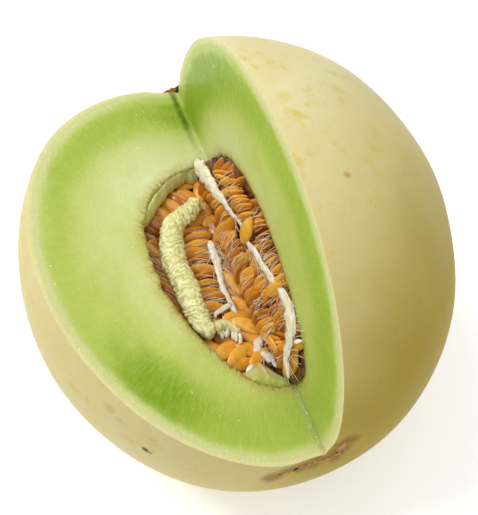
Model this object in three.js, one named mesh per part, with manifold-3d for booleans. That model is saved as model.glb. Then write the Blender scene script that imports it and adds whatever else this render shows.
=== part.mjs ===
// A whole honeydew melon with one wedge cut out of it: the flesh with its rind, the bed of seeds and
// pulp in the seed cavity, and the loose seed cord that lies on that bed.
// Millimetres, +Z up. The long axis lies along X, the stem scar at -X and the blossom scar at +X.
// The fruit rests on a small flat at its lowest point, and the notch opens upwards and towards -Y.
import * as THREE from "three";
import { mergeVertices } from "three/addons/utils/BufferGeometryUtils.js";
import Module from "manifold-3d";

const wasm = await Module();
wasm.setup();
const { Manifold } = wasm;

// All places below are measured from the middle of the cut's crease, in which the two cut faces meet.
// Elevations are degrees about the X axis, 0 along +Y and 90 straight up.
const FRUIT = {
  halfLength: 77.2,
  radius: 75,
  roundness: 2.218,
  lean: 0.038,
  axis: [-2.16, 0.4],
  blossomFlat: 2.8,
  blossomFlatRadius: 12,
  stemDimple: 1.6,
  stemDimpleRadius: 7,
  stemSkew: 0.05,
  stemSkewElevation: 96,
  stemSkewFrom: 50,
  restFlat: 1.3,
  sides: 56,
  rings: 32,
};
const CUT = {
  backFace: 79.5,
  seatFace: 155.8,
  driftMiddle: 1.4,
  driftReach: 1.8,
  driftLength: 50,
  reach: 130,
  halfSpan: 96,
  sections: 11,
};
const CAVITY = {
  centre: [4.4, -1.4, 0],
  tilt: -15,
  halfLength: 48,
  radius: 34.7,
  bluntness: 2.12,
  roundness: 1.62,
  lean: 0.228,
  sides: 40,
  rings: 18,
};
// The bed's valley and the feet of its two rims, as [radius, elevation] about the crease.
const BED = {
  valley: [6.2, 208.9],
  seatRim: [34, 169.4],
  backRim: [31.1, 74.9],
  reach: 90,
  gap: 0.35,
};
const SEED = { length: 12, width: 5.2, thickness: 2.1, taper: 0.35, sides: 6, rings: 4 };
const STRAND = { thickness: 0.7, height: 1.9, sides: 5 };
const CORD = {
  startRadius: 2.9,
  radius: 4.1,
  grownAt: 0.25,
  flatness: 0.92,
  endShare: 0.65,
  ridge: 0.45,
  pitch: 2.9,
  height: 4.6,
  sides: 9,
};
const SCAR = { radius: 1.6, sunk: 0.8, sides: 6, rings: 14 };

const materialOf = (color, roughness) =>
  new THREE.MeshStandardMaterial({ color, roughness, metalness: 0 });

// A point at a radius and an elevation about the crease.
function polar(radius, elevation, x = 0) {
  const angle = THREE.MathUtils.degToRad(elevation);
  return new THREE.Vector3(x, radius * Math.cos(angle), radius * Math.sin(angle));
}

// The closed solid that a geometry bounds.
function solidOf(geometry) {
  const bare = geometry.index ? geometry.toNonIndexed() : geometry.clone();
  const merged = mergeVertices(
    new THREE.BufferGeometry().setAttribute("position", bare.getAttribute("position")),
    1e-4,
  );
  const at = merged.getAttribute("position");
  const faces = [];
  let volume = 0;
  const corner = [new THREE.Vector3(), new THREE.Vector3(), new THREE.Vector3()];
  for (let i = 0; i < merged.index.count; i += 3) {
    const [a, b, c] = [0, 1, 2].map((k) => merged.index.getX(i + k));
    if (a === b || b === c || c === a) continue;
    faces.push(a, b, c);
    corner.forEach((point, k) => point.fromBufferAttribute(at, [a, b, c][k]));
    volume += corner[0].dot(corner[1].cross(corner[2]));
  }
  if (volume < 0) faces.reverse();
  return new Manifold(
    new wasm.Mesh({
      numProp: 3,
      vertProperties: new Float32Array(at.array),
      triVerts: new Uint32Array(faces),
    }),
  );
}

// The largest closed body of a solid: loose scraps are dropped and sealed hollows filled.
function mainBody(solid) {
  return solid.decompose().reduce((a, b) => (b.volume() > a.volume() ? b : a));
}

function meshOf(name, solid, material) {
  const { vertProperties, triVerts, numProp } = solid.getMesh();
  if (numProp !== 3) throw new Error(name + " has more than its positions");
  const geometry = new THREE.BufferGeometry();
  geometry.setAttribute("position", new THREE.BufferAttribute(new Float32Array(vertProperties), 3));
  geometry.setIndex(new THREE.BufferAttribute(new Uint32Array(triVerts), 1));
  const mesh = new THREE.Mesh(geometry, material);
  mesh.geometry.computeVertexNormals();
  mesh.name = name;
  return mesh;
}

// A closed skin over rings of the same number of points, with a flat fan at each end.
function loft(rings) {
  const points = [];
  const triangle = (...corners) => corners.forEach((p) => points.push(p.x, p.y, p.z));
  const sides = rings[0].length;
  for (let i = 0; i < rings.length - 1; i++)
    for (let j = 0; j < sides; j++) {
      const k = (j + 1) % sides;
      triangle(rings[i][j], rings[i + 1][j], rings[i + 1][k]);
      triangle(rings[i][j], rings[i + 1][k], rings[i][k]);
    }
  const last = rings[rings.length - 1];
  for (let j = 1; j < sides - 1; j++) {
    triangle(rings[0][0], rings[0][j], rings[0][j + 1]);
    triangle(last[0], last[j + 1], last[j]);
  }
  return new THREE.BufferGeometry().setAttribute(
    "position",
    new THREE.Float32BufferAttribute(points, 3),
  );
}

// Rings round a smooth path. radiusAt gives [across, out] at a fraction of the path's length.
function tube(path, sides, rings, radiusAt) {
  const curve = new THREE.CatmullRomCurve3(path, false, "centripetal");
  const frames = curve.computeFrenetFrames(rings, false);
  const around = [];
  for (let i = 0; i <= rings; i++) {
    const centre = curve.getPointAt(i / rings);
    const [across, out] = radiusAt(i / rings);
    around.push(
      Array.from({ length: sides }, (_, j) => {
        const angle = (2 * Math.PI * j) / sides;
        return centre
          .clone()
          .addScaledVector(frames.normals[i], across * Math.cos(angle))
          .addScaledVector(frames.binormals[i], out * Math.sin(angle));
      }),
    );
  }
  return loft(around);
}

// A place along an egg's axis, from -1 to 1, moved so that the egg is fuller on its -X side.
const leaned = (along, lean) => (1 - Math.sqrt(1 - 4 * lean * (along - lean))) / (2 * lean);

// An egg's profile from its -X tip to its +X tip, as lathe points: radius, then place along the axis.
// crowding makes the steps finer at the tips. shape gives the place along the axis at each point.
function eggProfile({ halfLength, radius, roundness, lean, bluntness = 2, rings }, shape = (x) => x) {
  const crowding = 0.34;
  const points = [];
  for (let i = 0; i <= rings; i++) {
    const share = i / rings;
    const turn = Math.PI * share - crowding * Math.sin(2 * Math.PI * share);
    const along = -Math.cos(turn);
    const tip = i === 0 || i === rings;
    const r = tip ? 0 : radius * (1 - Math.abs(along) ** bluntness) ** (1 / roundness);
    points.push(new THREE.Vector2(r, shape(halfLength * leaned(along, lean), r)));
  }
  return points;
}

// A lathe turned so that its axis lies along X.
const turned = (profile, sides) => new THREE.LatheGeometry(profile, sides).rotateZ(-Math.PI / 2);

// A place on the axis, moved in where the blossom end is blunt and the stem end has its dimple.
function hollowed(x, r) {
  const { blossomFlat, blossomFlatRadius, stemDimple, stemDimpleRadius } = FRUIT;
  return x > 0
    ? x - blossomFlat * Math.exp(-((r / blossomFlatRadius) ** 2))
    : x + stemDimple * Math.exp(-((r / stemDimpleRadius) ** 2));
}

// The outside of the whole fruit. Its stem end is a little askew, fuller above than below.
function fruitSkin() {
  const skin = turned(eggProfile(FRUIT, hollowed), FRUIT.sides);
  const fullest = polar(FRUIT.stemSkew, FRUIT.stemSkewElevation);
  const at = skin.getAttribute("position");
  const point = new THREE.Vector3();
  for (let i = 0; i < at.count; i++) {
    point.fromBufferAttribute(at, i);
    const share = THREE.MathUtils.smoothstep(-point.x, 0, FRUIT.stemSkewFrom);
    at.setX(i, point.x - share * point.dot(fullest));
  }
  return solidOf(skin.translate(0, ...FRUIT.axis));
}

// How far the crease wanders sideways, as the knife did, at a place along it.
function drift(x) {
  const share = THREE.MathUtils.clamp(x / CUT.driftLength, -1, 1);
  return CUT.driftMiddle - CUT.driftReach * Math.sin((Math.PI / 2) * share);
}

// The wedge that was cut out. Its faces run from the wandering crease through a straight rim.
function wedge() {
  const sections = Array.from({ length: CUT.sections }, (_, i) => {
    const x = THREE.MathUtils.lerp(-CUT.halfSpan, CUT.halfSpan, i / (CUT.sections - 1));
    const crease = new THREE.Vector3(x, drift(x), 0);
    const beyond = (elevation) => {
      const rim = polar(FRUIT.radius, elevation, x);
      return crease.clone().lerp(rim, CUT.reach / FRUIT.radius);
    };
    return [crease, beyond(CUT.backFace), beyond(CUT.seatFace)];
  });
  return solidOf(loft(sections));
}

// The seed cavity, an egg with its blunt end towards the stem, made smaller all over by a gap.
function cavity(gap = 0) {
  const shape = { ...CAVITY, halfLength: CAVITY.halfLength - gap, radius: CAVITY.radius - gap };
  const egg = turned(eggProfile(shape), CAVITY.sides);
  egg.rotateY(THREE.MathUtils.degToRad(CAVITY.tilt)).translate(...CAVITY.centre);
  return solidOf(egg);
}

// A small rounded lump with its half sizes along X, Y and Z.
function lump(centre, halfSizes, sides = 10, rings = 6) {
  return solidOf(
    new THREE.SphereGeometry(1, sides, rings).scale(...halfSizes).translate(...centre),
  );
}

// The corky wall left standing at the stem end of the crease.
const stemScar = () => [
  lump([-75.6, 0.2, -1.6], [2, 6, 4]),
  lump([-75.8, 3.4, 1.6], [1.7, 2.6, 3.6]),
];

// Where the skin of the blossom end lies over a place given as [y, z].
function blossomPoint([y, z], sunk) {
  const r = Math.hypot(y - FRUIT.axis[0], z - FRUIT.axis[1]);
  const along = Math.sqrt(1 - (r / FRUIT.radius) ** FRUIT.roundness);
  const x = hollowed(FRUIT.halfLength * leaned(along, FRUIT.lean), r);
  return new THREE.Vector3(x - sunk, y, z);
}

// The low corky scar across the blossom end, which passes just under the end of the crease.
function blossomScar() {
  const line = [
    [-18.8, -1.6],
    [-9, -2.4],
    [-1, -3.8],
    [3.5, -2],
    [4.6, 4],
    [7.8, 10.6],
  ];
  const path = line.map((place) => blossomPoint(place, SCAR.sunk));
  return solidOf(tube(path, SCAR.sides, SCAR.rings, () => [SCAR.radius, SCAR.radius]));
}

// The flat spot on which the fruit rests.
function belowRest() {
  const side = FRUIT.radius;
  const top = FRUIT.axis[1] - FRUIT.radius + FRUIT.restFlat;
  return solidOf(new THREE.BoxGeometry(side, side, side).translate(0, 0, top - side / 2));
}

// The two slopes of the seed bed rise from its valley to the rims of the cavity. Out is the way
// that each faces, into the notch.
function slope(rim) {
  const foot = polar(...BED.valley);
  const up = polar(...rim).sub(foot).normalize();
  const along = new THREE.Vector3(1, 0, 0);
  const out = along.clone().cross(up);
  if (out.dot(polar(1, (CUT.backFace + CUT.seatFace) / 2)) < 0) out.negate();
  return { foot, along, up, out };
}

const SLOPES = { seat: slope(BED.seatRim), back: slope(BED.backRim) };

// A point on a slope: its place along the valley, its way up the slope and its height over it.
function onSlope({ foot, along, up, out }, x, rise, height) {
  return foot
    .clone()
    .addScaledVector(along, x)
    .addScaledVector(up, rise)
    .addScaledVector(out, height);
}

// The space over the two slopes.
function overBed() {
  const ends = [-BED.reach, BED.reach];
  return solidOf(
    loft(
      ends.map((x) => [
        onSlope(SLOPES.back, x, 0, 0),
        onSlope(SLOPES.back, x, BED.reach, 0),
        onSlope(SLOPES.seat, x, BED.reach, 0),
      ]),
    ),
  );
}

// A flat drop-shaped seed, its point towards +X.
function seedGeometry() {
  const geometry = new THREE.SphereGeometry(1, SEED.sides, SEED.rings).rotateZ(-Math.PI / 2);
  const at = geometry.getAttribute("position");
  for (let i = 0; i < at.count; i++) {
    const slim = 1 - SEED.taper * Math.max(0, at.getX(i));
    at.setXYZ(
      i,
      (at.getX(i) * SEED.length) / 2,
      (at.getY(i) * slim * SEED.width) / 2,
      (at.getZ(i) * slim * SEED.thickness) / 2,
    );
  }
  return geometry;
}

const seedShape = seedGeometry();

// A seed on a slope. heading turns it in the slope, and stand lifts it from flat to on edge.
function seed(side, x, rise, heading, stand, height) {
  const { along, up, out } = SLOPES[side];
  const turn = THREE.MathUtils.degToRad(heading);
  const long = along.clone().multiplyScalar(Math.cos(turn)).addScaledVector(up, Math.sin(turn));
  const across = out.clone().cross(long);
  const place = new THREE.Matrix4()
    .makeBasis(long, across, out)
    .multiply(new THREE.Matrix4().makeRotationX(THREE.MathUtils.degToRad(stand)))
    .setPosition(onSlope(SLOPES[side], x, rise, height));
  return solidOf(seedShape.clone().applyMatrix4(place));
}

// Rows of seeds: [side, first [x, rise], last [x, rise], headings, stand, height, count].
const ROWS = [
  ["seat", [-17, 7], [15, 10.5], [-88, -88], 62, 0.6, 11],
  ["seat", [-18, -1], [18, 3], [-10, -38], 35, 0.4, 9],
  ["seat", [-26, 20], [-33, 4], [-36, -34], 40, 0.4, 6],
  ["seat", [-19, 23.5], [14, 23], [-38, -20], 50, -1.2, 7],
  ["back", [-13, 9], [29, 10.5], [104, 88], 48, 0.5, 11],
  ["back", [-28, 22], [-8, 25.5], [56, 66], 66, 0.2, 7],
  ["back", [-25, 12], [-12, 14], [70, 95], 55, -0.2, 4],
  ["back", [3, 28.5], [37, 24.5], [80, 100], 62, -0.2, 9],
  ["back", [4, 20], [31, 19], [88, 84], 60, -0.4, 8],
];

// Single seeds lying loose: [side, x, rise, heading, stand, height].
const LOOSE = [
  ["seat", -38.5, 3, -86, 10, 0.6],
  ["seat", -34, -1, 16, 12, 1.6],
  ["seat", -28, -2, 21, 15, 1],
  ["seat", -23.4, 2.5, -113, 20, 1],
  ["seat", -21.6, -2.8, -98, 15, 1],
  ["seat", 18.1, 4.9, -83, 15, 1.4],
  ["seat", 22.4, 2.4, -55, 10, 1.8],
  ["seat", 25.6, 2.6, -39, 12, 0.8],
  ["seat", 27.5, 17, -40, 20, -0.6],
  ["seat", 29, 13.6, -112, 15, 0.6],
  ["seat", 31.8, 10, -120, 20, 1.2],
  ["seat", 31, 4.7, -59, 12, 1.4],
  ["seat", 34, 2.6, -116, 18, 1.2],
  ["seat", 35.3, 8.6, -93, 35, 0.4],
  ["back", -2.1, 25.2, 104, 12, 2],
  ["back", 21.9, 25.2, 75, 20, 1.8],
  ["back", 32.4, 7.9, 27, 20, 1.2],
  ["back", 42, 16.5, 84, 25, 0.4],
  ["back", 41, 21, 64, 30, 0.2],
];

// How much the seeds of a row differ from each other, and how fast they vary along it.
const VARIETY = { turn: 5, turnPace: 7, lift: 0.25, liftPace: 5 };

function seeds() {
  const all = LOOSE.map((one) => seed(...one));
  for (const [side, first, last, headings, stand, height, count] of ROWS)
    for (let i = 0; i < count; i++) {
      const share = i / (count - 1);
      const x = THREE.MathUtils.lerp(first[0], last[0], share);
      const rise = THREE.MathUtils.lerp(first[1], last[1], share);
      const turn = VARIETY.turn * Math.sin(VARIETY.turnPace * i);
      const lift = VARIETY.lift * Math.cos(VARIETY.liftPace * i);
      const heading = THREE.MathUtils.lerp(...headings, share) + turn;
      all.push(seed(side, x, rise, heading, stand, height + lift));
    }
  return all;
}

// The pale strands of pulp that show: side, [x, rise] points, and half width at each end.
const STRANDS = [
  ["back", [[-44, 14], [-34, 14.5], [-22, 15.8], [-12, 20], [-4.6, 22.6]], 1.9, 0.8],
  ["back", [[2.3, 22.4], [12.8, 24.9], [23.3, 27]], 1, 1.2],
  ["back", [[23.6, 25.1], [31.6, 23.5], [38, 18.5], [43, 14]], 1.6, 2],
  ["seat", [[-11.7, 3.7], [-0.6, 4.9], [11.6, 5.8], [17.9, 4.5]], 0.9, 0.8],
];

function strands() {
  return STRANDS.map(([side, points, from, to]) => {
    const path = points.map(([x, rise]) => onSlope(SLOPES[side], x, rise, STRAND.height));
    const radii = (share) => [THREE.MathUtils.lerp(from, to, share), STRAND.thickness];
    return solidOf(tube(path, STRAND.sides, 2 * points.length, radii));
  });
}

// The loose cord: its middle line over the seat slope, as [x, rise].
const CORD_LINE = [
  [-26.5, 3.8],
  [-23.6, 10.1],
  [-18.5, 16.8],
  [-9, 20],
  [4, 20.3],
  [16.8, 19.4],
  [22.6, 16.6],
  [26.5, 9],
];

// The cord's solid, made wider all over by a gap. It is ridged across, and thinner at its start.
function cord(gap = 0) {
  const path = CORD_LINE.map(([x, rise]) => onSlope(SLOPES.seat, x, rise, CORD.height));
  const length = new THREE.CatmullRomCurve3(path, false, "centripetal").getLength();
  const rings = Math.round((2 * length) / CORD.pitch);
  const radii = (share) => {
    const growth = Math.min(1, share / CORD.grownAt);
    const grown = THREE.MathUtils.lerp(CORD.startRadius, CORD.radius, growth);
    const end = share === 0 || share === 1 ? CORD.endShare : 1;
    const ridge = gap > 0 ? CORD.ridge : CORD.ridge * Math.cos(Math.PI * share * rings);
    const radius = (grown + ridge) * end + gap;
    return [radius, radius * CORD.flatness];
  };
  return solidOf(tube(path, CORD.sides, rings, radii));
}

const flesh = Manifold.union([
  fruitSkin().subtract(cavity()).subtract(wedge()),
  ...stemScar(),
  blossomScar(),
]).subtract(belowRest());

const bed = Manifold.union([cavity(BED.gap).subtract(overBed()), ...seeds(), ...strands()])
  .intersect(cavity(BED.gap))
  .subtract(cord(BED.gap));

const group = new THREE.Group();
group.name = "cut_honeydew";
group.add(
  meshOf("melon", mainBody(flesh), materialOf(0xd9d39a, 0.5)),
  meshOf("seed_bed", mainBody(bed), materialOf(0xc07a2c, 0.35)),
  meshOf("seed_cord", mainBody(cord().intersect(cavity(BED.gap))), materialOf(0xdfe0a4, 0.45)),
);

// The origin is under the middle of the whole, on the surface on which it rests.
const bounds = new THREE.Box3().setFromObject(group);
const middle = bounds.getCenter(new THREE.Vector3());
group.position.set(-middle.x, -middle.y, -bounds.min.z);

export default group;
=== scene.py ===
"""A whole honeydew melon with one wedge cut out of it, dressed over its CAD frame.

Places are millimetres from the middle of the cut's crease, in which the two cut faces meet.
Elevations are degrees about the X axis, 0 along +Y and 90 straight up. Everything random is seeded.
"""

import logging
import math
from dataclasses import dataclass
from enum import Enum
from typing import Callable, Sequence

import bpy
import numpy as np
from mathutils import Matrix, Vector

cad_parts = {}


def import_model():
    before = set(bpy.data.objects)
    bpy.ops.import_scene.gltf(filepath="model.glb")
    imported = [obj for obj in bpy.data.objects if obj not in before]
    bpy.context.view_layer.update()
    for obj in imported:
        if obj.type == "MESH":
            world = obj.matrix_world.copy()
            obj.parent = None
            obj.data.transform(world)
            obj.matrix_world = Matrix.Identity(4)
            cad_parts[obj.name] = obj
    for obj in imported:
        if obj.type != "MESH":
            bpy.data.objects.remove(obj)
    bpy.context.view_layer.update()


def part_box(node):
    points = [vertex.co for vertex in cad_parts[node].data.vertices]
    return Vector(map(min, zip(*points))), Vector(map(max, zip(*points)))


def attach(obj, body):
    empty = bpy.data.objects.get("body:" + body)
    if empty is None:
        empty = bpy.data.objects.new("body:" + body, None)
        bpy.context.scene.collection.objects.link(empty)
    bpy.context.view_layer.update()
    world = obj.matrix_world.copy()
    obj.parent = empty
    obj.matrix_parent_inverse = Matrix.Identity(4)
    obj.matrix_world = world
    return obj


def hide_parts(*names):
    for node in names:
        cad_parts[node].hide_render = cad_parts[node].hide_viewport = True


LOG = logging.getLogger("melon")
MM = 0.001
Colour = tuple[float, float, float, float]


class Slot(Enum):
    """The record's material slots."""

    FLESH = "rind_and_flesh"
    SEEDS = "seeds_and_pulp"
    CORD = "seed_cord"
    CORK = "corky_scar"


def rgb(red: float, green: float, blue: float) -> Colour:
    """The linear colour of an sRGB one from 0 to 255."""
    shares = [part / 255 for part in (red, green, blue)]
    linear = [s / 12.92 if s < 0.04045 else ((s + 0.055) / 1.055) ** 2.4 for s in shares]
    return (*linear, 1.0)


def vector(*parts: float) -> np.ndarray:
    """A vector of three floats."""
    return np.array(parts, float)


def polar(radius: float, elevation: float) -> np.ndarray:
    """The place at a radius and an elevation about the crease."""
    turn = math.radians(elevation)
    return vector(0, radius * math.cos(turn), radius * math.sin(turn))


def unit(vectors: np.ndarray) -> np.ndarray:
    """The same directions with a length of 1."""
    return vectors / np.maximum(np.linalg.norm(vectors, axis=-1, keepdims=True), 1e-9)


def smooth(low: float, high: float, values: np.ndarray) -> np.ndarray:
    """A smooth step from 0 at low to 1 at high."""
    share = np.clip((values - low) / (high - low), 0, 1)
    return share * share * (3 - 2 * share)


def waves(points: np.ndarray, length: float, seed: int, count: int = 14) -> np.ndarray:
    """Smooth noise from about -1 to 1 made of crossed waves.

    Args:
        points: places in millimetres, one a row.
        length: about how long one wave is.
        seed: picks the waves.
        count: how many waves are added.

    Returns:
        One value for each place.
    """
    draw = np.random.default_rng(seed)
    headings = unit(draw.normal(size=(count, 3)))
    pace = 2 * math.pi / (length * draw.uniform(0.6, 1.5, count))
    phase = draw.uniform(0, 2 * math.pi, count)
    return np.sin(points @ headings.T * pace + phase).sum(axis=1) / math.sqrt(2 * count) * 1.2


def rounded(way: np.ndarray, length: float) -> np.ndarray:
    """The width of a round end, from 0 to 1, by the way from its tip and its length."""
    return np.sqrt(np.clip(1 - np.clip(1 - way / length, 0, 1) ** 2, 0, 1))


def spindle(share: np.ndarray) -> np.ndarray:
    """A width that is 0 at both ends of a line and 1 in its middle."""
    return np.sqrt(np.clip(4 * share * (1 - share), 0, 1))


def ring(side: np.ndarray, over: np.ndarray, turn: np.ndarray, flat: float = 1.0) -> np.ndarray:
    """Directions round a line at turns in radians, shorter by a share towards over."""
    return side * np.cos(turn)[:, None] + over * (flat * np.sin(turn))[:, None]


class Crease:
    """Where the middle of the crease lies in the frame, as measured from the melon's own box."""

    from_stem = 77.6
    past_middle = 2.16
    over_rest = 73.3

    def __init__(self) -> None:
        """Measures the CAD melon."""
        low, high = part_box("melon")
        self.origin = vector(
            low.x / MM + self.from_stem,
            (low.y + high.y) / 2 / MM + self.past_middle,
            low.z / MM + self.over_rest,
        )

    def metres(self, points: np.ndarray) -> np.ndarray:
        """Crease millimetres as metres in the frame."""
        return (points + self.origin) * MM


@dataclass(frozen=True)
class Fruit:
    """The outer form of the whole fruit."""

    half_length: float = 77.2
    radius: float = 75.0
    roundness: float = 2.218
    lean: float = 0.038
    axis: tuple[float, float] = (-2.16, 0.4)
    blossom_flat: tuple[float, float] = (2.8, 12.0)
    stem_dimple: tuple[float, float] = (1.6, 7.0)
    skew: tuple[float, float] = (-0.0052, 0.0497)
    skew_from: float = 50.0
    rest: float = -73.3

    def inside(self, points: np.ndarray) -> np.ndarray:
        """Which places are inside the fruit."""
        y = points[:, 1] - self.axis[0]
        z = points[:, 2] - self.axis[1]
        r = np.hypot(y, z)
        askew = self.skew[0] * y + self.skew[1] * z
        x = points[:, 0]
        for _ in range(3):
            x = points[:, 0] + smooth(0, self.skew_from, -x) * askew
        flat = self.blossom_flat[0] * np.exp(-((r / self.blossom_flat[1]) ** 2))
        dimple = self.stem_dimple[0] * np.exp(-((r / self.stem_dimple[1]) ** 2))
        share = (x + np.where(x > 0, flat, -dimple)) / self.half_length
        along = np.clip(share + self.lean * (1 - share**2), -1, 1)
        widest = self.radius * (1 - along**2) ** (1 / self.roundness)
        return (r < widest) & (np.abs(share) < 1) & (points[:, 2] > self.rest)


@dataclass(frozen=True)
class Cavity:
    """The seed cavity, an egg with its blunt end towards the stem."""

    centre: tuple[float, float, float] = (4.4, -1.4, 0.0)
    tilt: float = -15.0
    half_length: float = 48.0
    radius: float = 34.7
    bluntness: float = 2.12
    roundness: float = 1.62
    lean: float = 0.228

    def inside(self, points: np.ndarray, gap: float = 0.0) -> np.ndarray:
        """Which places are inside the cavity when it is smaller by a gap all over."""
        x, y, z = (points - np.array(self.centre)).T
        turn = math.radians(self.tilt)
        share = (x * math.cos(turn) - z * math.sin(turn)) / (self.half_length - gap)
        across = np.hypot(y, x * math.sin(turn) + z * math.cos(turn))
        along = np.clip(np.abs(share + self.lean * (1 - share**2)), 0, 1)
        widest = (1 - along**self.bluntness) ** (1 / self.roundness)
        return (across < (self.radius - gap) * widest) & (np.abs(share) < 1)


@dataclass(frozen=True)
class Cut:
    """The wedge: the elevations of its faces and its middle, and how far the crease wanders."""

    back_face: float = 79.5
    seat_face: float = 155.8
    middle: float = 117.0
    drift_middle: float = 1.4
    drift_reach: float = 1.8
    drift_length: float = 50.0

    def wander(self, points: np.ndarray, radius: float) -> np.ndarray:
        """Places moved as the knife wandered, most at the crease and not at all at the rim."""
        share = np.clip(points[:, 0] / self.drift_length, -1, 1)
        drift = self.drift_middle - self.drift_reach * np.sin(math.pi / 2 * share)
        near = np.clip(1 - np.hypot(points[:, 1], points[:, 2]) / radius, 0, 1)
        moved = points.copy()
        moved[:, 1] += drift * near
        return moved


FRUIT = Fruit()
CAVITY = Cavity()
CUT = Cut()


def wandered(points: np.ndarray) -> np.ndarray:
    """Places of a straight cut, moved as the knife wandered."""
    return CUT.wander(points, FRUIT.radius)


def in_fruit(points: np.ndarray) -> np.ndarray:
    """Which places of a straight cut end up in the fruit."""
    return FRUIT.inside(wandered(points))


def in_cavity(points: np.ndarray) -> np.ndarray:
    """Which places of a straight cut end up in the cavity."""
    return CAVITY.inside(wandered(points))


@dataclass(frozen=True, eq=False)
class Slope:
    """One slope of the seed bed, which rises from the valley to a rim of the cavity."""

    foot: np.ndarray
    up: np.ndarray
    out: np.ndarray

    def at(self, x: np.ndarray, rise: np.ndarray, height: np.ndarray) -> np.ndarray:
        """Places by their place along the valley, their way up the slope and their height."""
        x, rise, height = (np.asarray(part, float)[..., None] for part in (x, rise, height))
        return self.foot + vector(1, 0, 0) * x + self.up * rise + self.out * height

    def bowed(
        self, start: tuple[float, float], turn: float, run: np.ndarray, bow: np.ndarray,
        height: np.ndarray,
    ) -> np.ndarray:
        """The places of a line over this slope.

        Args:
            start: the place along the valley and the rise from which it runs.
            turn: its heading in the slope, in radians.
            run: millimetres along the heading.
            bow: millimetres across the heading.
            height: millimetres over the slope.

        Returns:
            One place for each run.
        """
        x = start[0] + run * math.cos(turn) - bow * math.sin(turn)
        rise = start[1] + run * math.sin(turn) + bow * math.cos(turn)
        return self.at(x, rise, height)

    def height_of(self, points: np.ndarray) -> np.ndarray:
        """How far places are over this slope."""
        return (points - self.foot) @ self.out


def slope_to(radius: float, elevation: float) -> Slope:
    """The slope from the valley to a rim given as a radius and an elevation."""
    foot = polar(6.2, 208.9)
    up = unit(polar(radius, elevation) - foot)
    out = np.cross(vector(1, 0, 0), up)
    return Slope(foot, up, out if out @ polar(1, CUT.middle) > 0 else -out)


class Side(Enum):
    """The two slopes of the bed, each under the cut face of the same name."""

    SEAT = slope_to(34.0, 169.4)
    BACK = slope_to(31.1, 74.9)


def reach(inside: Callable, start: np.ndarray, directions: np.ndarray, limit: float) -> np.ndarray:
    """How far each direction goes from a start before it leaves a form.

    Args:
        inside: tells which places are inside the form.
        start: a place inside the form, or one for each direction.
        directions: unit vectors, one a row.
        limit: a distance outside the form.

    Returns:
        One distance for each direction.
    """
    low = np.zeros(len(directions))
    high = np.full(len(directions), limit)
    for _ in range(34):
        middle = (low + high) / 2
        hit = inside(start + directions * middle[:, None])
        low = np.where(hit, middle, low)
        high = np.where(hit, high, middle)
    return low


def headings(turn: np.ndarray, elevation: np.ndarray) -> np.ndarray:
    """Unit vectors by their turn from +X to -X, from 0 to 1, and their elevation."""
    polar_turn = math.pi * turn
    round_turn = np.radians(elevation)
    flat = np.sin(polar_turn)
    return np.stack([np.cos(polar_turn), flat * np.cos(round_turn), flat * np.sin(round_turn)], 1)


class Line:
    """A smooth line through places, walked by its share of the length."""

    def __init__(self, places: Sequence, fine: int = 24) -> None:
        """Runs a Catmull-Rom line through the places."""
        knots = np.array(places, float)
        knots = np.vstack([2 * knots[0] - knots[1], knots, 2 * knots[-1] - knots[-2]])
        share = np.linspace(0, 1, fine, endpoint=False)[:, None]
        parts = []
        for a, b, c, d in zip(knots, knots[1:], knots[2:], knots[3:]):
            bend = (2 * a - 5 * b + 4 * c - d) * share**2 + (3 * b - a - 3 * c + d) * share**3
            parts.append(0.5 * (2 * b + (c - a) * share + bend))
        self.points = np.vstack([*parts, knots[-2]])
        steps = np.linalg.norm(np.diff(self.points, axis=0), axis=1)
        self.length = float(steps.sum())
        self.shares = np.concatenate([[0], np.cumsum(steps)]) / self.length

    def at(self, share: np.ndarray) -> np.ndarray:
        """Places at shares of the length."""
        parts = [np.interp(share, self.shares, self.points[:, k]) for k in range(3)]
        return np.stack(parts, -1)

    def heading(self, share: np.ndarray) -> np.ndarray:
        """Which way the line runs at shares of its length."""
        return unit(self.at(np.clip(share + 0.01, 0, 1)) - self.at(np.clip(share - 0.01, 0, 1)))

    def sides(self, share: np.ndarray, out: np.ndarray) -> tuple[np.ndarray, np.ndarray]:
        """The directions across the line at shares of its length: level, and towards out."""
        ahead = self.heading(share)
        side = unit(np.cross(ahead, out))
        return side, np.cross(side, ahead)


@dataclass(frozen=True, eq=False)
class Laid:
    """Where a sheet's corners lie, in frame metres, and the numbers that they keep, if any."""

    places: np.ndarray
    notes: np.ndarray | None = None


Place = Callable[[np.ndarray, np.ndarray], Laid]


def corners_of(piece: bpy.types.Object) -> np.ndarray:
    """A mesh's corners, one a row."""
    flat = np.empty(3 * len(piece.data.vertices))
    piece.data.vertices.foreach_get("co", flat)
    return flat.reshape(-1, 3)


def set_corners(piece: bpy.types.Object, points: np.ndarray) -> None:
    """Moves a mesh's corners."""
    piece.data.vertices.foreach_set("co", np.ascontiguousarray(points, float).ravel())
    piece.data.update()


def keep(piece: bpy.types.Object, name: str, values: np.ndarray) -> None:
    """Keeps three numbers a corner in the mesh, or one number thrice, for materials to read."""
    if values.ndim == 1:
        values = np.stack([values] * 3, 1)
    layer = piece.data.attributes.new(name, "FLOAT_VECTOR", "POINT")
    layer.data.foreach_set("vector", np.ascontiguousarray(values, np.float32).ravel())


def only(*pieces: bpy.types.Object) -> None:
    """Selects these pieces alone, the first as the active one."""
    bpy.ops.object.select_all(action="DESELECT")
    for piece in pieces:
        piece.select_set(True)
    bpy.context.view_layer.objects.active = pieces[0]


def named(piece: bpy.types.Object, name: str) -> bpy.types.Object:
    """Gives a piece and its mesh one name."""
    piece.name = name
    piece.data.name = name
    return piece


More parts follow.
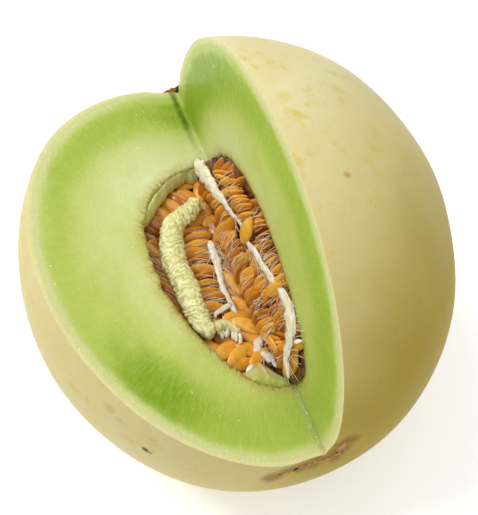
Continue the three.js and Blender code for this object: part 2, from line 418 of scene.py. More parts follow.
def sheet(
    name: str, place: Place, across: int, along: int, kept: str | None = None
) -> bpy.types.Object:
    """A sheet of four-sided faces.

    Args:
        name: the piece's name.
        place: lays the corners from two shares, each from 0 to 1.
        across: how many faces it has in the first share's direction.
        along: how many it has in the second's.
        kept: the name under which the mesh keeps the corners' numbers.

    Returns:
        The new piece.
    """
    bpy.ops.mesh.primitive_grid_add(x_subdivisions=across, y_subdivisions=along, size=2)
    piece = named(bpy.context.active_object, name)
    shares = np.clip((corners_of(piece) + 1) / 2, 0, 1)
    laid = place(shares[:, 0], shares[:, 1])
    set_corners(piece, laid.places)
    if kept is not None:
        keep(piece, kept, laid.notes)
    return piece


def copies(name: str, faces: list, places: np.ndarray) -> bpy.types.Object:
    """Many small pieces of the same build in one mesh.

    Args:
        name: the piece's name.
        faces: the corner numbers of one piece's faces.
        places: the corners' places, pieces by corners by 3, in frame metres.

    Returns:
        The new piece.
    """
    count = places.shape[1]
    all_faces = [
        [corner + number * count for corner in face]
        for number in range(len(places))
        for face in faces
    ]
    mesh = bpy.data.meshes.new(name)
    mesh.from_pydata(places.reshape(-1, 3).tolist(), [], all_faces)
    piece = bpy.data.objects.new(name, mesh)
    bpy.context.collection.objects.link(piece)
    return piece


def join(name: str, *pieces: bpy.types.Object) -> bpy.types.Object:
    """Makes one piece of several."""
    only(*pieces)
    if len(pieces) > 1:
        bpy.ops.object.join()
    return named(pieces[0], name)


def weld(name: str, *pieces: bpy.types.Object) -> bpy.types.Object:
    """Joins pieces whose edges meet, merges the corners there and turns the faces outwards."""
    piece = join(name, *pieces)
    bpy.ops.object.mode_set(mode="EDIT")
    bpy.ops.mesh.select_all(action="SELECT")
    bpy.ops.mesh.remove_doubles(threshold=0.02 * MM)
    bpy.ops.mesh.normals_make_consistent(inside=False)
    bpy.ops.object.mode_set(mode="OBJECT")
    return piece


def soften(piece: bpy.types.Object, angle: float = 180.0) -> None:
    """Shades a piece smooth, apart from edges sharper than an angle in degrees."""
    only(piece)
    if angle >= 180:
        bpy.ops.object.shade_smooth()
    else:
        bpy.ops.object.shade_smooth_by_angle(angle=math.radians(angle))


def settle(piece: bpy.types.Object, material: bpy.types.Material | None = None) -> None:
    """Gives a finished piece its material, and lets it ride on the fruit."""
    if material is not None:
        piece.data.materials.clear()
        piece.data.materials.append(material)
    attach(piece, "root")
    LOG.info("%s has %d faces", piece.name, len(piece.data.polygons))


class Wire:
    """A value in a material's tree that can be calculated with."""

    def __init__(self, paint: "Paint", socket: bpy.types.NodeSocket) -> None:
        """Wraps a socket of a paint's tree."""
        self.paint = paint
        self.socket = socket

    def _math(self, operation: str, first: object, second: object = 0.0) -> "Wire":
        """One Math node's result."""
        values = {0: first, 1: second}
        return self.paint.add("ShaderNodeMath", {"operation": operation}, values)

    def __add__(self, other: object) -> "Wire":
        """The sum."""
        return self._math("ADD", self, other)

    def __radd__(self, other: object) -> "Wire":
        """The sum, with this one second."""
        return self._math("ADD", other, self)

    def __sub__(self, other: object) -> "Wire":
        """The difference."""
        return self._math("SUBTRACT", self, other)

    def __rsub__(self, other: object) -> "Wire":
        """The difference, with this one second."""
        return self._math("SUBTRACT", other, self)

    def __mul__(self, other: object) -> "Wire":
        """The product."""
        return self._math("MULTIPLY", self, other)

    def __truediv__(self, other: object) -> "Wire":
        """The quotient."""
        return self._math("DIVIDE", self, other)

    def most(self, other: object) -> "Wire":
        """The larger of two values."""
        return self._math("MAXIMUM", self, other)

    def step(self, low: float, high: float) -> "Wire":
        """A smooth step from 0 at low to 1 at high; low may be the larger."""
        settings = {"interpolation_type": "SMOOTHSTEP"}
        if low > high:
            values = {0: self, 1: high, 2: low, 3: 1.0, 4: 0.0}
        else:
            values = {0: self, 1: low, 2: high, 3: 0.0, 4: 1.0}
        return self.paint.add("ShaderNodeMapRange", settings, values)


class Paint:
    """One material: a Principled shader, and the nodes that lead to it."""

    def __init__(self, name: str, **constants: object) -> None:
        """Makes the material and sets the shader's constants, whose names use _ for a space."""
        self.material = bpy.data.materials.new(name)
        self.material.use_nodes = True
        self.tree = self.material.node_tree
        self.shader = self.tree.nodes["Principled BSDF"]
        for socket, value in constants.items():
            self.shader.inputs[socket.replace("_", " ")].default_value = value

    def add(
        self, kind: str, settings: dict | None = None, values: dict | None = None, output: object = 0
    ) -> Wire:
        """Adds a node.

        Args:
            kind: the node's type name.
            settings: its properties, which are set first.
            values: for each input, by name or number, a value or a Wire.
            output: the wanted output, by name or number.

        Returns:
            That output.
        """
        node = self.tree.nodes.new(kind)
        for name, value in (settings or {}).items():
            setattr(node, name, value)
        for name, value in (values or {}).items():
            if isinstance(value, Wire):
                self.tree.links.new(value.socket, node.inputs[name])
            else:
                node.inputs[name].default_value = value
        return Wire(self, node.outputs[output])

    def lead(self, value: Wire, socket: str) -> None:
        """Leads a value to a socket of the shader."""
        self.tree.links.new(value.socket, self.shader.inputs[socket])

    def place(self) -> Wire:
        """Object coordinates, in metres."""
        return self.add("ShaderNodeTexCoord", output="Object")

    def split(self, value: Wire) -> list[Wire]:
        """The three parts of a vector."""
        first = self.add("ShaderNodeSeparateXYZ", values={0: value})
        return [Wire(self, socket) for socket in first.socket.node.outputs]

    def kept(self, name: str) -> list[Wire]:
        """The three numbers that a mesh keeps under a name."""
        settings = {"attribute_name": name}
        return self.split(self.add("ShaderNodeAttribute", settings, output="Vector"))

    def noise(self, place: Wire, size: float, detail: float = 2.0, rough: float = 0.5) -> Wire:
        """Noise from 0 to 1 whose grain is a size in millimetres."""
        values = {"Vector": place, "Scale": 1 / (size * MM), "Detail": detail, "Roughness": rough}
        return self.add("ShaderNodeTexNoise", values=values)

    def stretch(self, place: Wire, scale: Sequence[float]) -> Wire:
        """A place with each of its parts scaled."""
        return self.add("ShaderNodeVectorMath", {"operation": "MULTIPLY"}, {0: place, 1: scale})

    def away(self, place: Wire, centre: np.ndarray) -> Wire:
        """The distance from a place in the frame, in millimetres."""
        values = {0: place, 1: tuple(centre)}
        found = self.add("ShaderNodeVectorMath", {"operation": "DISTANCE"}, values, "Value")
        return found * (1 / MM)

    def blend(self, share: object, first: object, second: object) -> Wire:
        """A colour between two colours."""
        settings = {"data_type": "RGBA"}
        return self.add("ShaderNodeMix", settings, {0: share, 6: first, 7: second}, 2)

    def ramp(self, value: Wire, stops: Sequence[tuple[float, Colour]]) -> Wire:
        """The colour of a ramp at a value from 0 to 1."""
        found = self.add("ShaderNodeValToRGB", values={0: value})
        elements = found.socket.node.color_ramp.elements
        while len(elements) < len(stops):
            elements.new(0.5)
        for element, (at, colour) in zip(elements, stops):
            element.position = at
            element.color = colour
        return found

    def levels(self, value: Wire, stops: Sequence[tuple[float, float]]) -> Wire:
        """The number that a ramp of numbers gives at a value from 0 to 1."""
        return self.split(self.ramp(value, [(at, (n, n, n, 1.0)) for at, n in stops]))[0]

    def relief(self, *heights: tuple[Wire, float]) -> None:
        """Bumps: each height from 0 to 1, and how many millimetres 1 stands for."""
        normal: object = None
        for height, depth in heights:
            values = {"Height": height, "Distance": depth * MM, "Strength": 1.0}
            if normal is not None:
                values["Normal"] = normal
            normal = self.add("ShaderNodeBump", values=values)
        self.lead(normal, "Normal")


@dataclass(frozen=True)
class Mark:
    """A mark on the rind."""

    centre: tuple[float, float, float]
    size: float
    colour: Colour
    strength: float


@dataclass(frozen=True)
class RindFinish:
    """Smooth, waxy, cream-coloured rind with faint yellow patches, a few marks, and painted shade in
    tan and olive.
    """

    cream: Colour = rgb(214, 202, 147)
    pale: Colour = rgb(219, 211, 162)
    yellow: Colour = rgb(206, 182, 82)
    # tan and olive are the colours of painted shade.
    tan: Colour = rgb(202, 184, 112)
    olive: Colour = rgb(166, 142, 28)
    fleck: Colour = rgb(160, 138, 74)
    cork: Colour = rgb(126, 82, 38)
    marks: tuple[Mark, ...] = (
        Mark((54, -55.7, 6.9), 2.0, rgb(70, 66, 40), 0.95),
        Mark((55.5, -54.2, 6.2), 1.3, rgb(96, 88, 50), 0.6),
        Mark((41.2, -62.4, 19.4), 2.8, rgb(172, 160, 96), 0.4),
        Mark((45, -60.6, 16.6), 2.0, rgb(172, 158, 96), 0.3),
        Mark((13.6, 28.6, 67), 1.7, rgb(190, 140, 60), 0.75),
        Mark((-18.1, 20.4, 70.4), 3.6, rgb(208, 186, 84), 0.4),
        Mark((-10.3, 21.4, 71.3), 3.2, rgb(208, 184, 82), 0.4),
        Mark((-3, 45.8, 57.9), 5.0, rgb(206, 184, 88), 0.32),
        Mark((4, 52.1, 51.7), 5.4, rgb(206, 184, 88), 0.32),
        Mark((57.7, 28.2, 40.5), 1.6, rgb(186, 148, 74), 0.6),
        Mark((50.2, 40.2, 38.6), 1.5, rgb(186, 150, 78), 0.6),
        Mark((67.9, 19.7, 30.4), 2.2, rgb(180, 140, 76), 0.6),
    )
    scar: tuple[tuple[float, float, float], ...] = (
        (75.2, -18.8, -1.6),
        (75.4, -14.4, 0.3),
        (75.2, -9.0, -2.5),
        (75.0, -4.4, -3.1),
        (75.2, 2.2, -3.3),
        (75.4, 4.6, 2.6),
        (75.4, 6.0, 8.4),
    )

    def make(self, crease: Crease) -> bpy.types.Material:
        """Builds the material."""
        paint = Paint(
            "waxy_rind",
            Roughness=0.42,
            Coat_Roughness=0.3,
            Specular_IOR_Level=0.04,
            Subsurface_Weight=0.12,
            Subsurface_Radius=(0.9, 0.7, 0.35),
            Subsurface_Scale=0.004,
        )
        place = paint.place()
        wide = paint.noise(place, 34, 2)
        fine = paint.noise(place, 7, 4, 0.62)
        grain = paint.noise(place, 0.9, 2)
        x, y, z = paint.split(place)
        # A slope towards the lower right and round the back, which sets the painted shade below.
        shade_side = x * 0.7 + y * 0.69 - z * 0.2 + (wide - 0.5) * 0.03 + 0.0147
        colour = paint.blend((wide * 0.7 + fine * 0.3).step(0.36, 0.62), self.cream, self.pale)
        patches = (paint.noise(place, 10, 6, 0.7) + fine * 0.5).step(0.74, 1.0)
        colour = paint.blend(patches * 0.8, colour, self.yellow)
        # Painted shade: tan, then olive, towards the lower right and round the back; tan on the
        # underside and on the -Y side.
        colour = paint.blend(shade_side.step(-0.012, 0.046) * 0.8, colour, self.tan)
        colour = paint.blend(z.step(0.075, 0.01) * 0.45, colour, self.tan)
        colour = paint.blend(y.step(-0.005, -0.07) * 0.5, colour, self.tan)
        colour = paint.blend(shade_side.step(0.026, 0.068) * 0.92, colour, self.olive)
        flecks = paint.noise(place, 2.2, 3, 0.6).step(0.66, 0.76)
        colour = paint.blend(flecks * fine.step(0.45, 0.65) * 0.4, colour, self.fleck)
        for mark in self.marks:
            away = paint.away(place, crease.metres(np.array(mark.centre))) + (fine - 0.5) * 3.4
            share = away.step(mark.size, mark.size * 0.3) * mark.strength
            colour = paint.blend(share, colour, mark.colour)
        brown: object = 0.0
        for point in self.scar:
            away = paint.away(place, crease.metres(np.array(point))) + (fine - 0.5) * 9
            near = away.step(6.4, 1.2)
            brown = near if brown == 0.0 else near.most(brown)
        colour = paint.blend(brown * (0.35 + grain * 0.5), colour, self.cork)
        colour = paint.blend((grain - 0.4) * 0.16, colour, self.fleck)
        paint.lead(colour, "Base Color")
        paint.lead(0.36 + fine * 0.16 + brown * 0.2, "Roughness")
        paint.lead((0.04 - brown * 0.04).most(0.0), "Coat Weight")
        paint.relief((wide, 0.5), (fine, 0.16), (grain, 0.035))
        return paint.material


@dataclass(frozen=True)
class FleshFinish:
    """Moist flesh of a cut face: pale under the rind, then a green band, then paler again.

    A mesh that wears it keeps "lay": millimetres from the rind, millimetres from the cavity, and
    the turn round the face from the blossom end, 0, to the stem end, 1.
    """

    name: str
    band: tuple[tuple[float, float], ...]
    inner: tuple[tuple[float, float], ...]
    width: tuple[tuple[float, float], ...]
    depths: tuple[tuple[float, float], ...]
    thin_from: float
    gloss: float
    skin: Colour = rgb(217, 209, 156)
    under: Colour = rgb(206, 208, 146)
    green: Colour = rgb(150, 178, 46)
    middle: Colour = rgb(184, 198, 96)
    deep: Colour = rgb(124, 158, 14)
    # line is the colour of the painted shade along the crease.
    line: Colour = rgb(74, 106, 14)
    pale: Colour = rgb(209, 213, 143)
    edge: Colour = rgb(176, 156, 62)
    brown: Colour = rgb(118, 82, 30)
    # white is also the colour of the painted glints.
    white: Colour = rgb(236, 238, 206)

    def make(self, crease: Crease) -> bpy.types.Material:
        """Builds the material."""
        paint = Paint(
            self.name,
            Specular_IOR_Level=0.15 + self.gloss,
            Subsurface_Weight=0.35,
            Subsurface_Radius=(0.8, 1.0, 0.35),
            Subsurface_Scale=0.004,
            Coat_Roughness=0.18,
        )
        place = paint.place()
        depth, core, turn = paint.kept("lay")
        cloud = paint.noise(place, 9, 3, 0.55)
        grain = paint.noise(place, 2.2, 3, 0.6)
        fine = paint.noise(place, 0.55, 2, 0.6)
        ray_place = paint.add("ShaderNodeCombineXYZ", values={0: turn * 0.22, 1: depth * 0.00025})
        rays = paint.noise(ray_place, 1.3, 4, 0.7)
        where = turn + (cloud - 0.5) * 0.12
        width = paint.levels(where, self.width) * 20
        deep = depth + (cloud - 0.5) * 7 + (rays - 0.5) * 2.4
        green_in = deep.step(3.6, 8.2)
        green_out = (deep / width).step(1.5, 0.75)
        band = green_in * green_out * paint.levels(where, self.band)
        wide_cloud = paint.noise(place, 19, 3, 0.6)
        paleness = (paint.levels(where, self.inner) + (wide_cloud - 0.5) * 1.7).step(0.0, 1.0)
        inner = paint.blend(paleness, self.middle, self.pale)
        veil = (deep / width).step(0.9, 2.7)
        colour = paint.blend(veil, self.middle, inner)
        colour = paint.blend(veil * turn.step(0.66, 0.84) * 0.5, colour, self.white)
        colour = paint.blend(band * (0.62 + cloud * 0.5), colour, self.green)
        colour = paint.blend(band * paint.levels(where, self.depths), colour, self.deep)
        thin = depth * turn.step(self.thin_from, self.thin_from + 0.14) * 1.1
        border = thin + depth + (grain - 0.5) * 1.6 + (rays - 0.5) * 1.2
        colour = paint.blend(border.step(6.2, 2.6) * 0.92, colour, self.under)
        colour = paint.blend(border.step(2.1, 1.0), colour, self.skin)
        near = core + (grain - 0.5) * 3.4 + (rays - 0.5) * 5.0
        colour = paint.blend(near.step(5.0, 0.6) * 0.5, colour, self.edge)
        colour = paint.blend(near.step(1.5, -0.3) * 0.75, colour, self.brown)
        colour = paint.blend((rays - 0.44) * 0.8, colour, self.pale)
        # Painted glints: small white wet specks in the cloudy parts of the face.
        specks = paint.noise(place, 1.5, 1).step(0.74, 0.8) * cloud.step(0.42, 0.6)
        rim_specks = border.step(7.5, 3.5) * paint.noise(place, 0.8, 2).step(0.6, 0.72)
        colour = paint.blend(specks * 0.7 + rim_specks * 0.45, colour, self.white)
        # Painted shade: a dark green line along the crease, strongest towards the stem end.
        axis = crease.origin * MM * (0, 1, 1)
        height = paint.away(paint.stretch(place, (0, 1, 1)), axis) + (grain - 0.5) * 1.4
        stem = paint.split(place)[0].step(-0.046, -0.064)
        colour = paint.blend(height.step(2.3, 0.8) * (stem * 0.84 + 0.14), colour, self.line)
        paint.lead(colour, "Base Color")
        paint.lead(0.34 + fine * 0.2 + border.step(4.0, 1.0) * 0.15, "Roughness")
        paint.lead(self.gloss + cloud * 0.12, "Coat Weight")
        paint.relief((cloud, 0.35), (grain, 0.22), (rays, 0.1), (fine, 0.05))
        return paint.material


SEAT_FLESH = FleshFinish(
    "seat_flesh",
    band=((0.0, 0.45), (0.1, 0.5), (0.2, 0.75), (0.3, 1.0), (0.4, 0.45), (0.5, 0.22), (0.62, 0.4),
          (0.75, 0.75), (0.9, 0.75), (1.0, 0.9)),
    inner=((0.0, 0.55), (0.12, 0.5), (0.22, 0.45), (0.32, 0.7), (0.5, 0.8), (0.7, 0.8),
           (0.85, 1.0), (1.0, 0.9)),
    width=((0.0, 1.0), (0.15, 0.9), (0.3, 0.95), (0.5, 0.6), (0.7, 0.6), (0.85, 0.7), (1.0, 0.7)),
    depths=((0.0, 0.15), (0.18, 0.2), (0.26, 1.0), (0.34, 0.9), (0.42, 0.0), (0.93, 0.0),
            (0.97, 0.6), (1.0, 0.8)),
    thin_from=0.86,
    gloss=0.12,
)
BACK_FLESH = FleshFinish(
    "back_flesh",
    band=((0.0, 0.6), (0.2, 0.78), (0.5, 0.75), (0.7, 0.85), (0.85, 1.0), (1.0, 0.95)),
    inner=((0.0, 0.05), (0.2, 0.1), (0.4, 0.35), (0.6, 0.75), (0.8, 1.0), (1.0, 1.0)),
    width=((0.0, 1.0), (0.3, 0.8), (0.6, 0.8), (0.85, 1.0), (1.0, 0.9)),
    depths=((0.0, 0.0), (0.1, 0.3), (0.3, 0.3), (0.5, 0.1), (0.68, 0.45), (0.82, 0.85), (1.0, 0.7)),
    thin_from=0.6,
    gloss=0.0,
)


@dataclass(frozen=True)
class WallFinish:
    """The wet wall of the seed cavity, with fibres that run down to the seeds."""

    pale: Colour = rgb(206, 206, 138)
    flesh: Colour = rgb(172, 160, 74)
    olive: Colour = rgb(112, 86, 30)
    dark: Colour = rgb(58, 34, 12)

    def make(self) -> bpy.types.Material:
        """Builds the material."""
        paint = Paint("cavity_wall", Subsurface_Weight=0.25, Subsurface_Scale=0.004)
        place = paint.place()
        cloud = paint.noise(place, 6, 3)
        fibres = paint.noise(paint.stretch(place, (1.0, 0.18, 0.18)), 0.9, 3, 0.6)
        x = paint.split(place)[0] + (cloud - 0.5) * 0.012
        stem = x.step(-0.008, -0.022)
        colour = paint.blend(cloud.step(0.35, 0.65), self.flesh, self.olive)
        colour = paint.blend(fibres.step(0.48, 0.7) * 0.75, colour, self.dark)
        colour = paint.blend(stem * (0.95 - fibres * 0.35), colour, self.pale)
        paint.lead(colour, "Base Color")
        paint.lead(0.22 + fibres * 0.2, "Roughness")
        paint.relief((cloud, 0.5), (fibres, 0.35))
        return paint.material


@dataclass(frozen=True)
class CoreFinish:
    """The wet pulp that shows between the seeds, coloured near black as painted shade in the gaps.
    """

    # amber and dark are darker than the pulp itself: painted shade between the seeds.
    amber: Colour = rgb(122, 66, 22)
    dark: Colour = rgb(44, 22, 8)
    pulp: Colour = rgb(178, 132, 82)

    def make(self) -> bpy.types.Material:
        """Builds the material."""
        paint = Paint("shaded_pulp", Subsurface_Weight=0.2, Subsurface_Scale=0.003)
        place = paint.place()
        cloud = paint.noise(place, 5, 3)
        fibres = paint.noise(paint.stretch(place, (1.6, 0.35, 0.35)), 0.8, 3, 0.65)
        colour = paint.blend(cloud.step(0.35, 0.62), self.dark, self.amber)
        colour = paint.blend(fibres.step(0.58, 0.74) * 0.45, colour, self.pulp)
        paint.lead(colour, "Base Color")
        paint.lead(0.16 + fibres * 0.2, "Roughness")
        paint.lead(0.4 + cloud * 0.3, "Coat Weight")
        paint.relief((cloud, 0.8), (fibres, 0.4))
        return paint.material


@dataclass(frozen=True)
class SeedFinish:
    """Wet orange-tan seeds. A mesh keeps "seed": its own tone, lowered on buried seeds as painted
    shade, the place along it and the rim.
    """

    light: Colour = rgb(240, 178, 66)
    warm: Colour = rgb(224, 146, 36)
    deep: Colour = rgb(150, 74, 10)
    tip: Colour = rgb(120, 60, 10)

    def make(self) -> bpy.types.Material:
        """Builds the material."""
        paint = Paint(
            "wet_seed",
            Specular_IOR_Level=0.35,
            Subsurface_Weight=0.12,
            Subsurface_Radius=(1.0, 0.45, 0.1),
            Subsurface_Scale=0.0012,
            Coat_Roughness=0.06,
        )
        place = paint.place()
        own, along, rim = paint.kept("seed")
        cloud = paint.noise(place, 2.4, 3)
        grain = paint.noise(place, 0.5, 2)
        colour = paint.blend(own.step(0.1, 0.9), self.warm, self.light)
        # Random tone and cloud, and a low tone on buried seeds, which is painted shade.
        tone_and_shade = cloud.step(0.4, 0.75) * 0.35 + (0.5 - own).step(0.15, 0.5) * 0.6
        colour = paint.blend(tone_and_shade, colour, self.deep)
        colour = paint.blend(along.step(0.7, 1.0) * 0.5, colour, self.tip)
        colour = paint.blend(rim.step(0.75, 1.0) * 0.35, colour, self.light)
        paint.lead(colour, "Base Color")
        paint.lead(0.2 + grain * 0.14, "Roughness")
        paint.lead(0.35 + own * 0.25, "Coat Weight")
        paint.relief((cloud, 0.12), (grain, 0.03))
        return paint.material


@dataclass(frozen=True)
class PulpFinish:
    """Moist stringy tissue. "run" in a mesh has the place along and the place round a string."""

    name: str
    light: Colour
    shade: Colour
    soft: float = 0.35
    gloss: float = 0.3
    cover: float = 1.0

    def make(self) -> bpy.types.Material:
        """Builds the material."""
        paint = Paint(
            self.name,
            Subsurface_Weight=self.soft,
            Subsurface_Radius=(1.0, 0.9, 0.6),
            Subsurface_Scale=0.002,
            Coat_Roughness=0.2,
        )
        place = paint.place()
        cloud = paint.noise(place, 3, 3)
        fibre = paint.noise(place, 0.6, 3, 0.65)
        colour = paint.blend((cloud * 0.6 + fibre * 0.5).step(0.42, 0.72), self.light, self.shade)
        paint.lead(colour, "Base Color")
        paint.lead(0.26 + fibre * 0.24, "Roughness")
        paint.lead(self.gloss + cloud * 0.2, "Coat Weight")
        if self.cover < 1:
            run = paint.add("ShaderNodeAttribute", {"attribute_name": "run"}, output="Vector")
            threads = paint.noise(run, 500, 4, 0.7)
            paint.lead(self.cover + threads.step(0.42, 0.56) * (1 - self.cover), "Alpha")
            paint.relief((threads, 0.14), (cloud, 0.2), (fibre, 0.12))
        else:
            paint.relief((cloud, 0.2), (fibre, 0.12))
        return paint.material


@dataclass(frozen=True)
class CordFinish:
    """The cord's pale spongy tissue, with painted shade in its low folds and painted light on their
    crests. "fold" in a mesh has the height of its folds, 0 to 1.
    """

    light: Colour = rgb(230, 227, 176)
    body: Colour = rgb(214, 210, 144)
    shade: Colour = rgb(198, 188, 108)

    def make(self) -> bpy.types.Material:
        """Builds the material."""
        paint = Paint(
            "spongy_cord",
            Subsurface_Weight=0.35,
            Subsurface_Radius=(1.0, 0.95, 0.5),
            Subsurface_Scale=0.002,
            Coat_Roughness=0.3,
            Coat_Weight=0.15,
        )
        place = paint.place()
        fold = paint.kept("fold")[0]
        cloud = paint.noise(place, 3.4, 3)
        grain = paint.noise(place, 0.5, 3, 0.65)
        height = fold + (cloud - 0.5) * 0.5 + (grain - 0.5) * 0.35
        # Painted shade in the low folds, painted light on the crests.
        colour = paint.blend(height.step(0.1, 0.5), self.shade, self.body)
        colour = paint.blend(height.step(0.55, 0.9), colour, self.light)
        paint.lead(colour, "Base Color")
        paint.lead(0.4 + grain * 0.2, "Roughness")
        paint.relief((cloud, 0.2), (grain, 0.12))
        return paint.material


@dataclass(frozen=True)
class CorkFinish:
    """Dry cork, near black where "cork" in a mesh is high, from 0 to 1; on the stem wall that is
    painted shade.
    """

    light: Colour = rgb(206, 152, 90)
    brown: Colour = rgb(156, 102, 50)
    dark: Colour = rgb(58, 40, 20)

    def make(self) -> bpy.types.Material:
        """Builds the material."""
        paint = Paint("dry_cork", Roughness=0.8)
        place = paint.place()
        dark = paint.kept("cork")[0]
        cloud = paint.noise(place, 2.6, 3, 0.6)
        grain = paint.noise(place, 0.6, 3, 0.65)
        colour = paint.blend((cloud * 0.7 + grain * 0.3).step(0.4, 0.6), self.brown, self.light)
        colour = paint.blend((dark + (grain - 0.5) * 0.6).step(0.3, 0.75), colour, self.dark)
        paint.lead(colour, "Base Color")
        paint.lead(0.7 + grain * 0.25, "Roughness")
        paint.relief((cloud, 0.4), (grain, 0.25))
        return paint.material


@dataclass(frozen=True)
class GelFinish:
    """Clear wet gel, which glints and hardly tints what is under it."""

    tint: Colour = rgb(206, 204, 130)
    pale: Colour = rgb(226, 226, 176)
    cover: float = 0.2

    def make(self) -> bpy.types.Material:
        """Builds the material."""
        paint = Paint("clear_gel", Alpha=self.cover, Coat_Weight=1.0, Coat_Roughness=0.05)
        place = paint.place()
        cloud = paint.noise(place, 1.6, 2)
        paint.lead(paint.blend(cloud, self.tint, self.pale), "Base Color")
        paint.lead(0.06 + cloud * 0.1, "Roughness")
        paint.relief((cloud, 0.5))
        return paint.material


@dataclass(frozen=True)
class LipFinish:
    """Wet see-through flesh. "lip" in a mesh has the way from its free edge, 0, to the flesh, 1."""

    name: str
    free: Colour
    pale: Colour
    joined: Colour

    def make(self) -> bpy.types.Material:
        """Builds the material."""
        paint = Paint(
            self.name,
            Subsurface_Weight=0.5,
            Subsurface_Radius=(1.0, 0.9, 0.4),
            Subsurface_Scale=0.003,
            Coat_Roughness=0.08,
        )
        place = paint.place()
        cloud = paint.noise(place, 4, 3, 0.6)
        fibre = paint.noise(place, 0.8, 3, 0.65)
        way = paint.kept("lip")[0] + (cloud - 0.5) * 0.35
        colour = paint.blend(way.step(0.0, 0.28), self.free, self.pale)
        colour = paint.blend(way.step(0.3, 0.75), colour, self.joined)
        paint.lead(colour, "Base Color")
        paint.lead(0.2 + fibre * 0.2, "Roughness")
        paint.lead(0.35 + cloud * 0.4, "Coat Weight")
        paint.relief((cloud, 0.5), (fibre, 0.12))
        return paint.material


@dataclass(frozen=True)
class FloorFinish:
    """A plain pale studio floor, which glows a little."""

    pale: Colour = rgb(250, 250, 250)
    glow: float = 0.38

    def make(self) -> bpy.types.Material:
        """Builds the material."""
        paint = Paint("studio_floor", Roughness=0.7, Base_Color=self.pale)
        paint.shader.inputs["Emission Color"].default_value = self.pale
        paint.shader.inputs["Emission Strength"].default_value = self.glow
        return paint.material


@dataclass
class Body:
    """The flesh with its rind: the skin, the two cut faces and the wall of the cavity."""

    crease: Crease
    heart: tuple[float, float, float] = (4.0, 0.0, 0.0)
    across: int = 156
    along: int = 170
    deep: int = 46
    skin_relief: float = 0.22
    wall_relief: float = 0.35
    face_relief: float = 0.3

    def point(self, turn: np.ndarray, elevation: np.ndarray, far: np.ndarray) -> np.ndarray:
        """Places by heading and distance from the heart, moved as the knife wandered."""
        return wandered(np.array(self.heart) + headings(turn, elevation) * far[:, None])

    def skin(self, turn: np.ndarray, elevation: np.ndarray) -> np.ndarray:
        """How far the skin is from the heart."""
        lines = headings(turn, elevation)
        heart = np.array(self.heart)
        far = reach(in_fruit, heart, lines, 110)
        low = (heart + lines * far[:, None])[:, 2] < FRUIT.rest + 0.6
        return far + np.where(low, 0, waves(lines * 75, 46, 3) * self.skin_relief)

    def wall(self, turn: np.ndarray, elevation: np.ndarray) -> np.ndarray:
        """How far the cavity's wall is from the heart."""
        lines = headings(turn, elevation)
        far = reach(in_cavity, np.array(self.heart), lines, 70)
        rough = waves(lines * 40, 9, 5) + 0.5 * waves(lines * 40, 3.2, 6)
        return far + self.wall_relief * rough

    def _shell(self, name: str, far: Callable, material: bpy.types.Material) -> bpy.types.Object:
        """A sheet over all of the solid's elevations at the distance that far gives."""
        span = CUT.back_face + 360 - CUT.seat_face

        def place(u: np.ndarray, v: np.ndarray) -> Laid:
            """Lays the corners."""
            elevation = CUT.seat_face + span * u
            return Laid(self.crease.metres(self.point(v, elevation, far(v, elevation))), u * 0)

        piece = sheet(name, place, self.across, self.along, "lay")
        piece.data.materials.append(material)
        return piece

    def _face(self, name: str, elevation: float, material: bpy.types.Material) -> bpy.types.Object:
        """One cut face, from the wall of the cavity out to the skin."""
        fine = np.linspace(0, 1, 4 * self.along)
        level = np.full_like(fine, elevation)
        rim = self.point(fine, level, self.skin(fine, level))
        mouth = self.point(fine, level, self.wall(fine, level))
        inwards = np.cross(vector(1, 0, 0), polar(1, elevation))

        def place(u: np.ndarray, v: np.ndarray) -> Laid:
            """Lays the corners."""
            here = np.full_like(u, elevation)
            inner = self.wall(v, here)
            outer = self.skin(v, here)
            share = 1 - (1 - u) ** 1.35
            points = self.point(v, here, inner + (outer - inner) * share)
            away = [
                np.min(np.linalg.norm(points[:, None] - line[None], axis=2), axis=1)
                for line in (rim, mouth)
            ]
            middle = 4 * share * (1 - share) * np.sin(math.pi * v)
            height = waves(points, 21, 8) * self.face_relief * middle
            laid = self.crease.metres(points + inwards * height[:, None])
            return Laid(laid, np.stack([*away, v], 1))

        piece = sheet(name, place, self.deep, self.along, "lay")
        piece.data.materials.append(material)
        return piece

    def build(self) -> bpy.types.Object:
        """Builds, joins and dresses the whole."""
        skin = self._shell("skin", self.skin, RindFinish().make(self.crease))
        wall = self._shell("wall", self.wall, WallFinish().make())
        seat = self._face("seat", CUT.seat_face, SEAT_FLESH.make(self.crease))
        back = self._face("back", CUT.back_face, BACK_FLESH.make(self.crease))
        piece = weld("melon_body", skin, wall, seat, back)
        soften(piece, 34)
        settle(piece)
        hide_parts("melon")
        return piece


@dataclass
class Bed:
    """The pulp under the seeds, near black as painted shade between them: the lower part of the egg
    with a valley along its top.
    """

    crease: Crease
    heart: tuple[float, float, float] = (0.0, 0.44, -15.7)
    gap: float = 0.3
    sunk: float = 1.5
    rough: float = 0.7
    across: int = 230
    along: int = 170

    def inside(self, points: np.ndarray) -> np.ndarray:
        """Which places are in the bed."""
        relief = self.sunk + self.rough * (waves(points, 6, 11) + 0.5 * waves(points, 2.4, 12))
        over = (Side.SEAT.value.height_of(points) > -relief) & (
            Side.BACK.value.height_of(points) > -relief
        )
        return CAVITY.inside(points, self.gap) & ~over

    def build(self) -> bpy.types.Object:
        """Builds and dresses the bed."""
        heart = np.array(self.heart)

        def place(u: np.ndarray, v: np.ndarray) -> Laid:
            """Lays the corners."""
            lines = headings(v, 360 * u)
            far = reach(self.inside, heart, lines, 90)
            return Laid(self.crease.metres(heart + lines * far[:, None]))

        piece = weld("pulp_bed", sheet("bed", place, self.across, self.along))
        soften(piece)
        settle(piece, CoreFinish().make())
        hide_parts("seed_bed")
        return piece


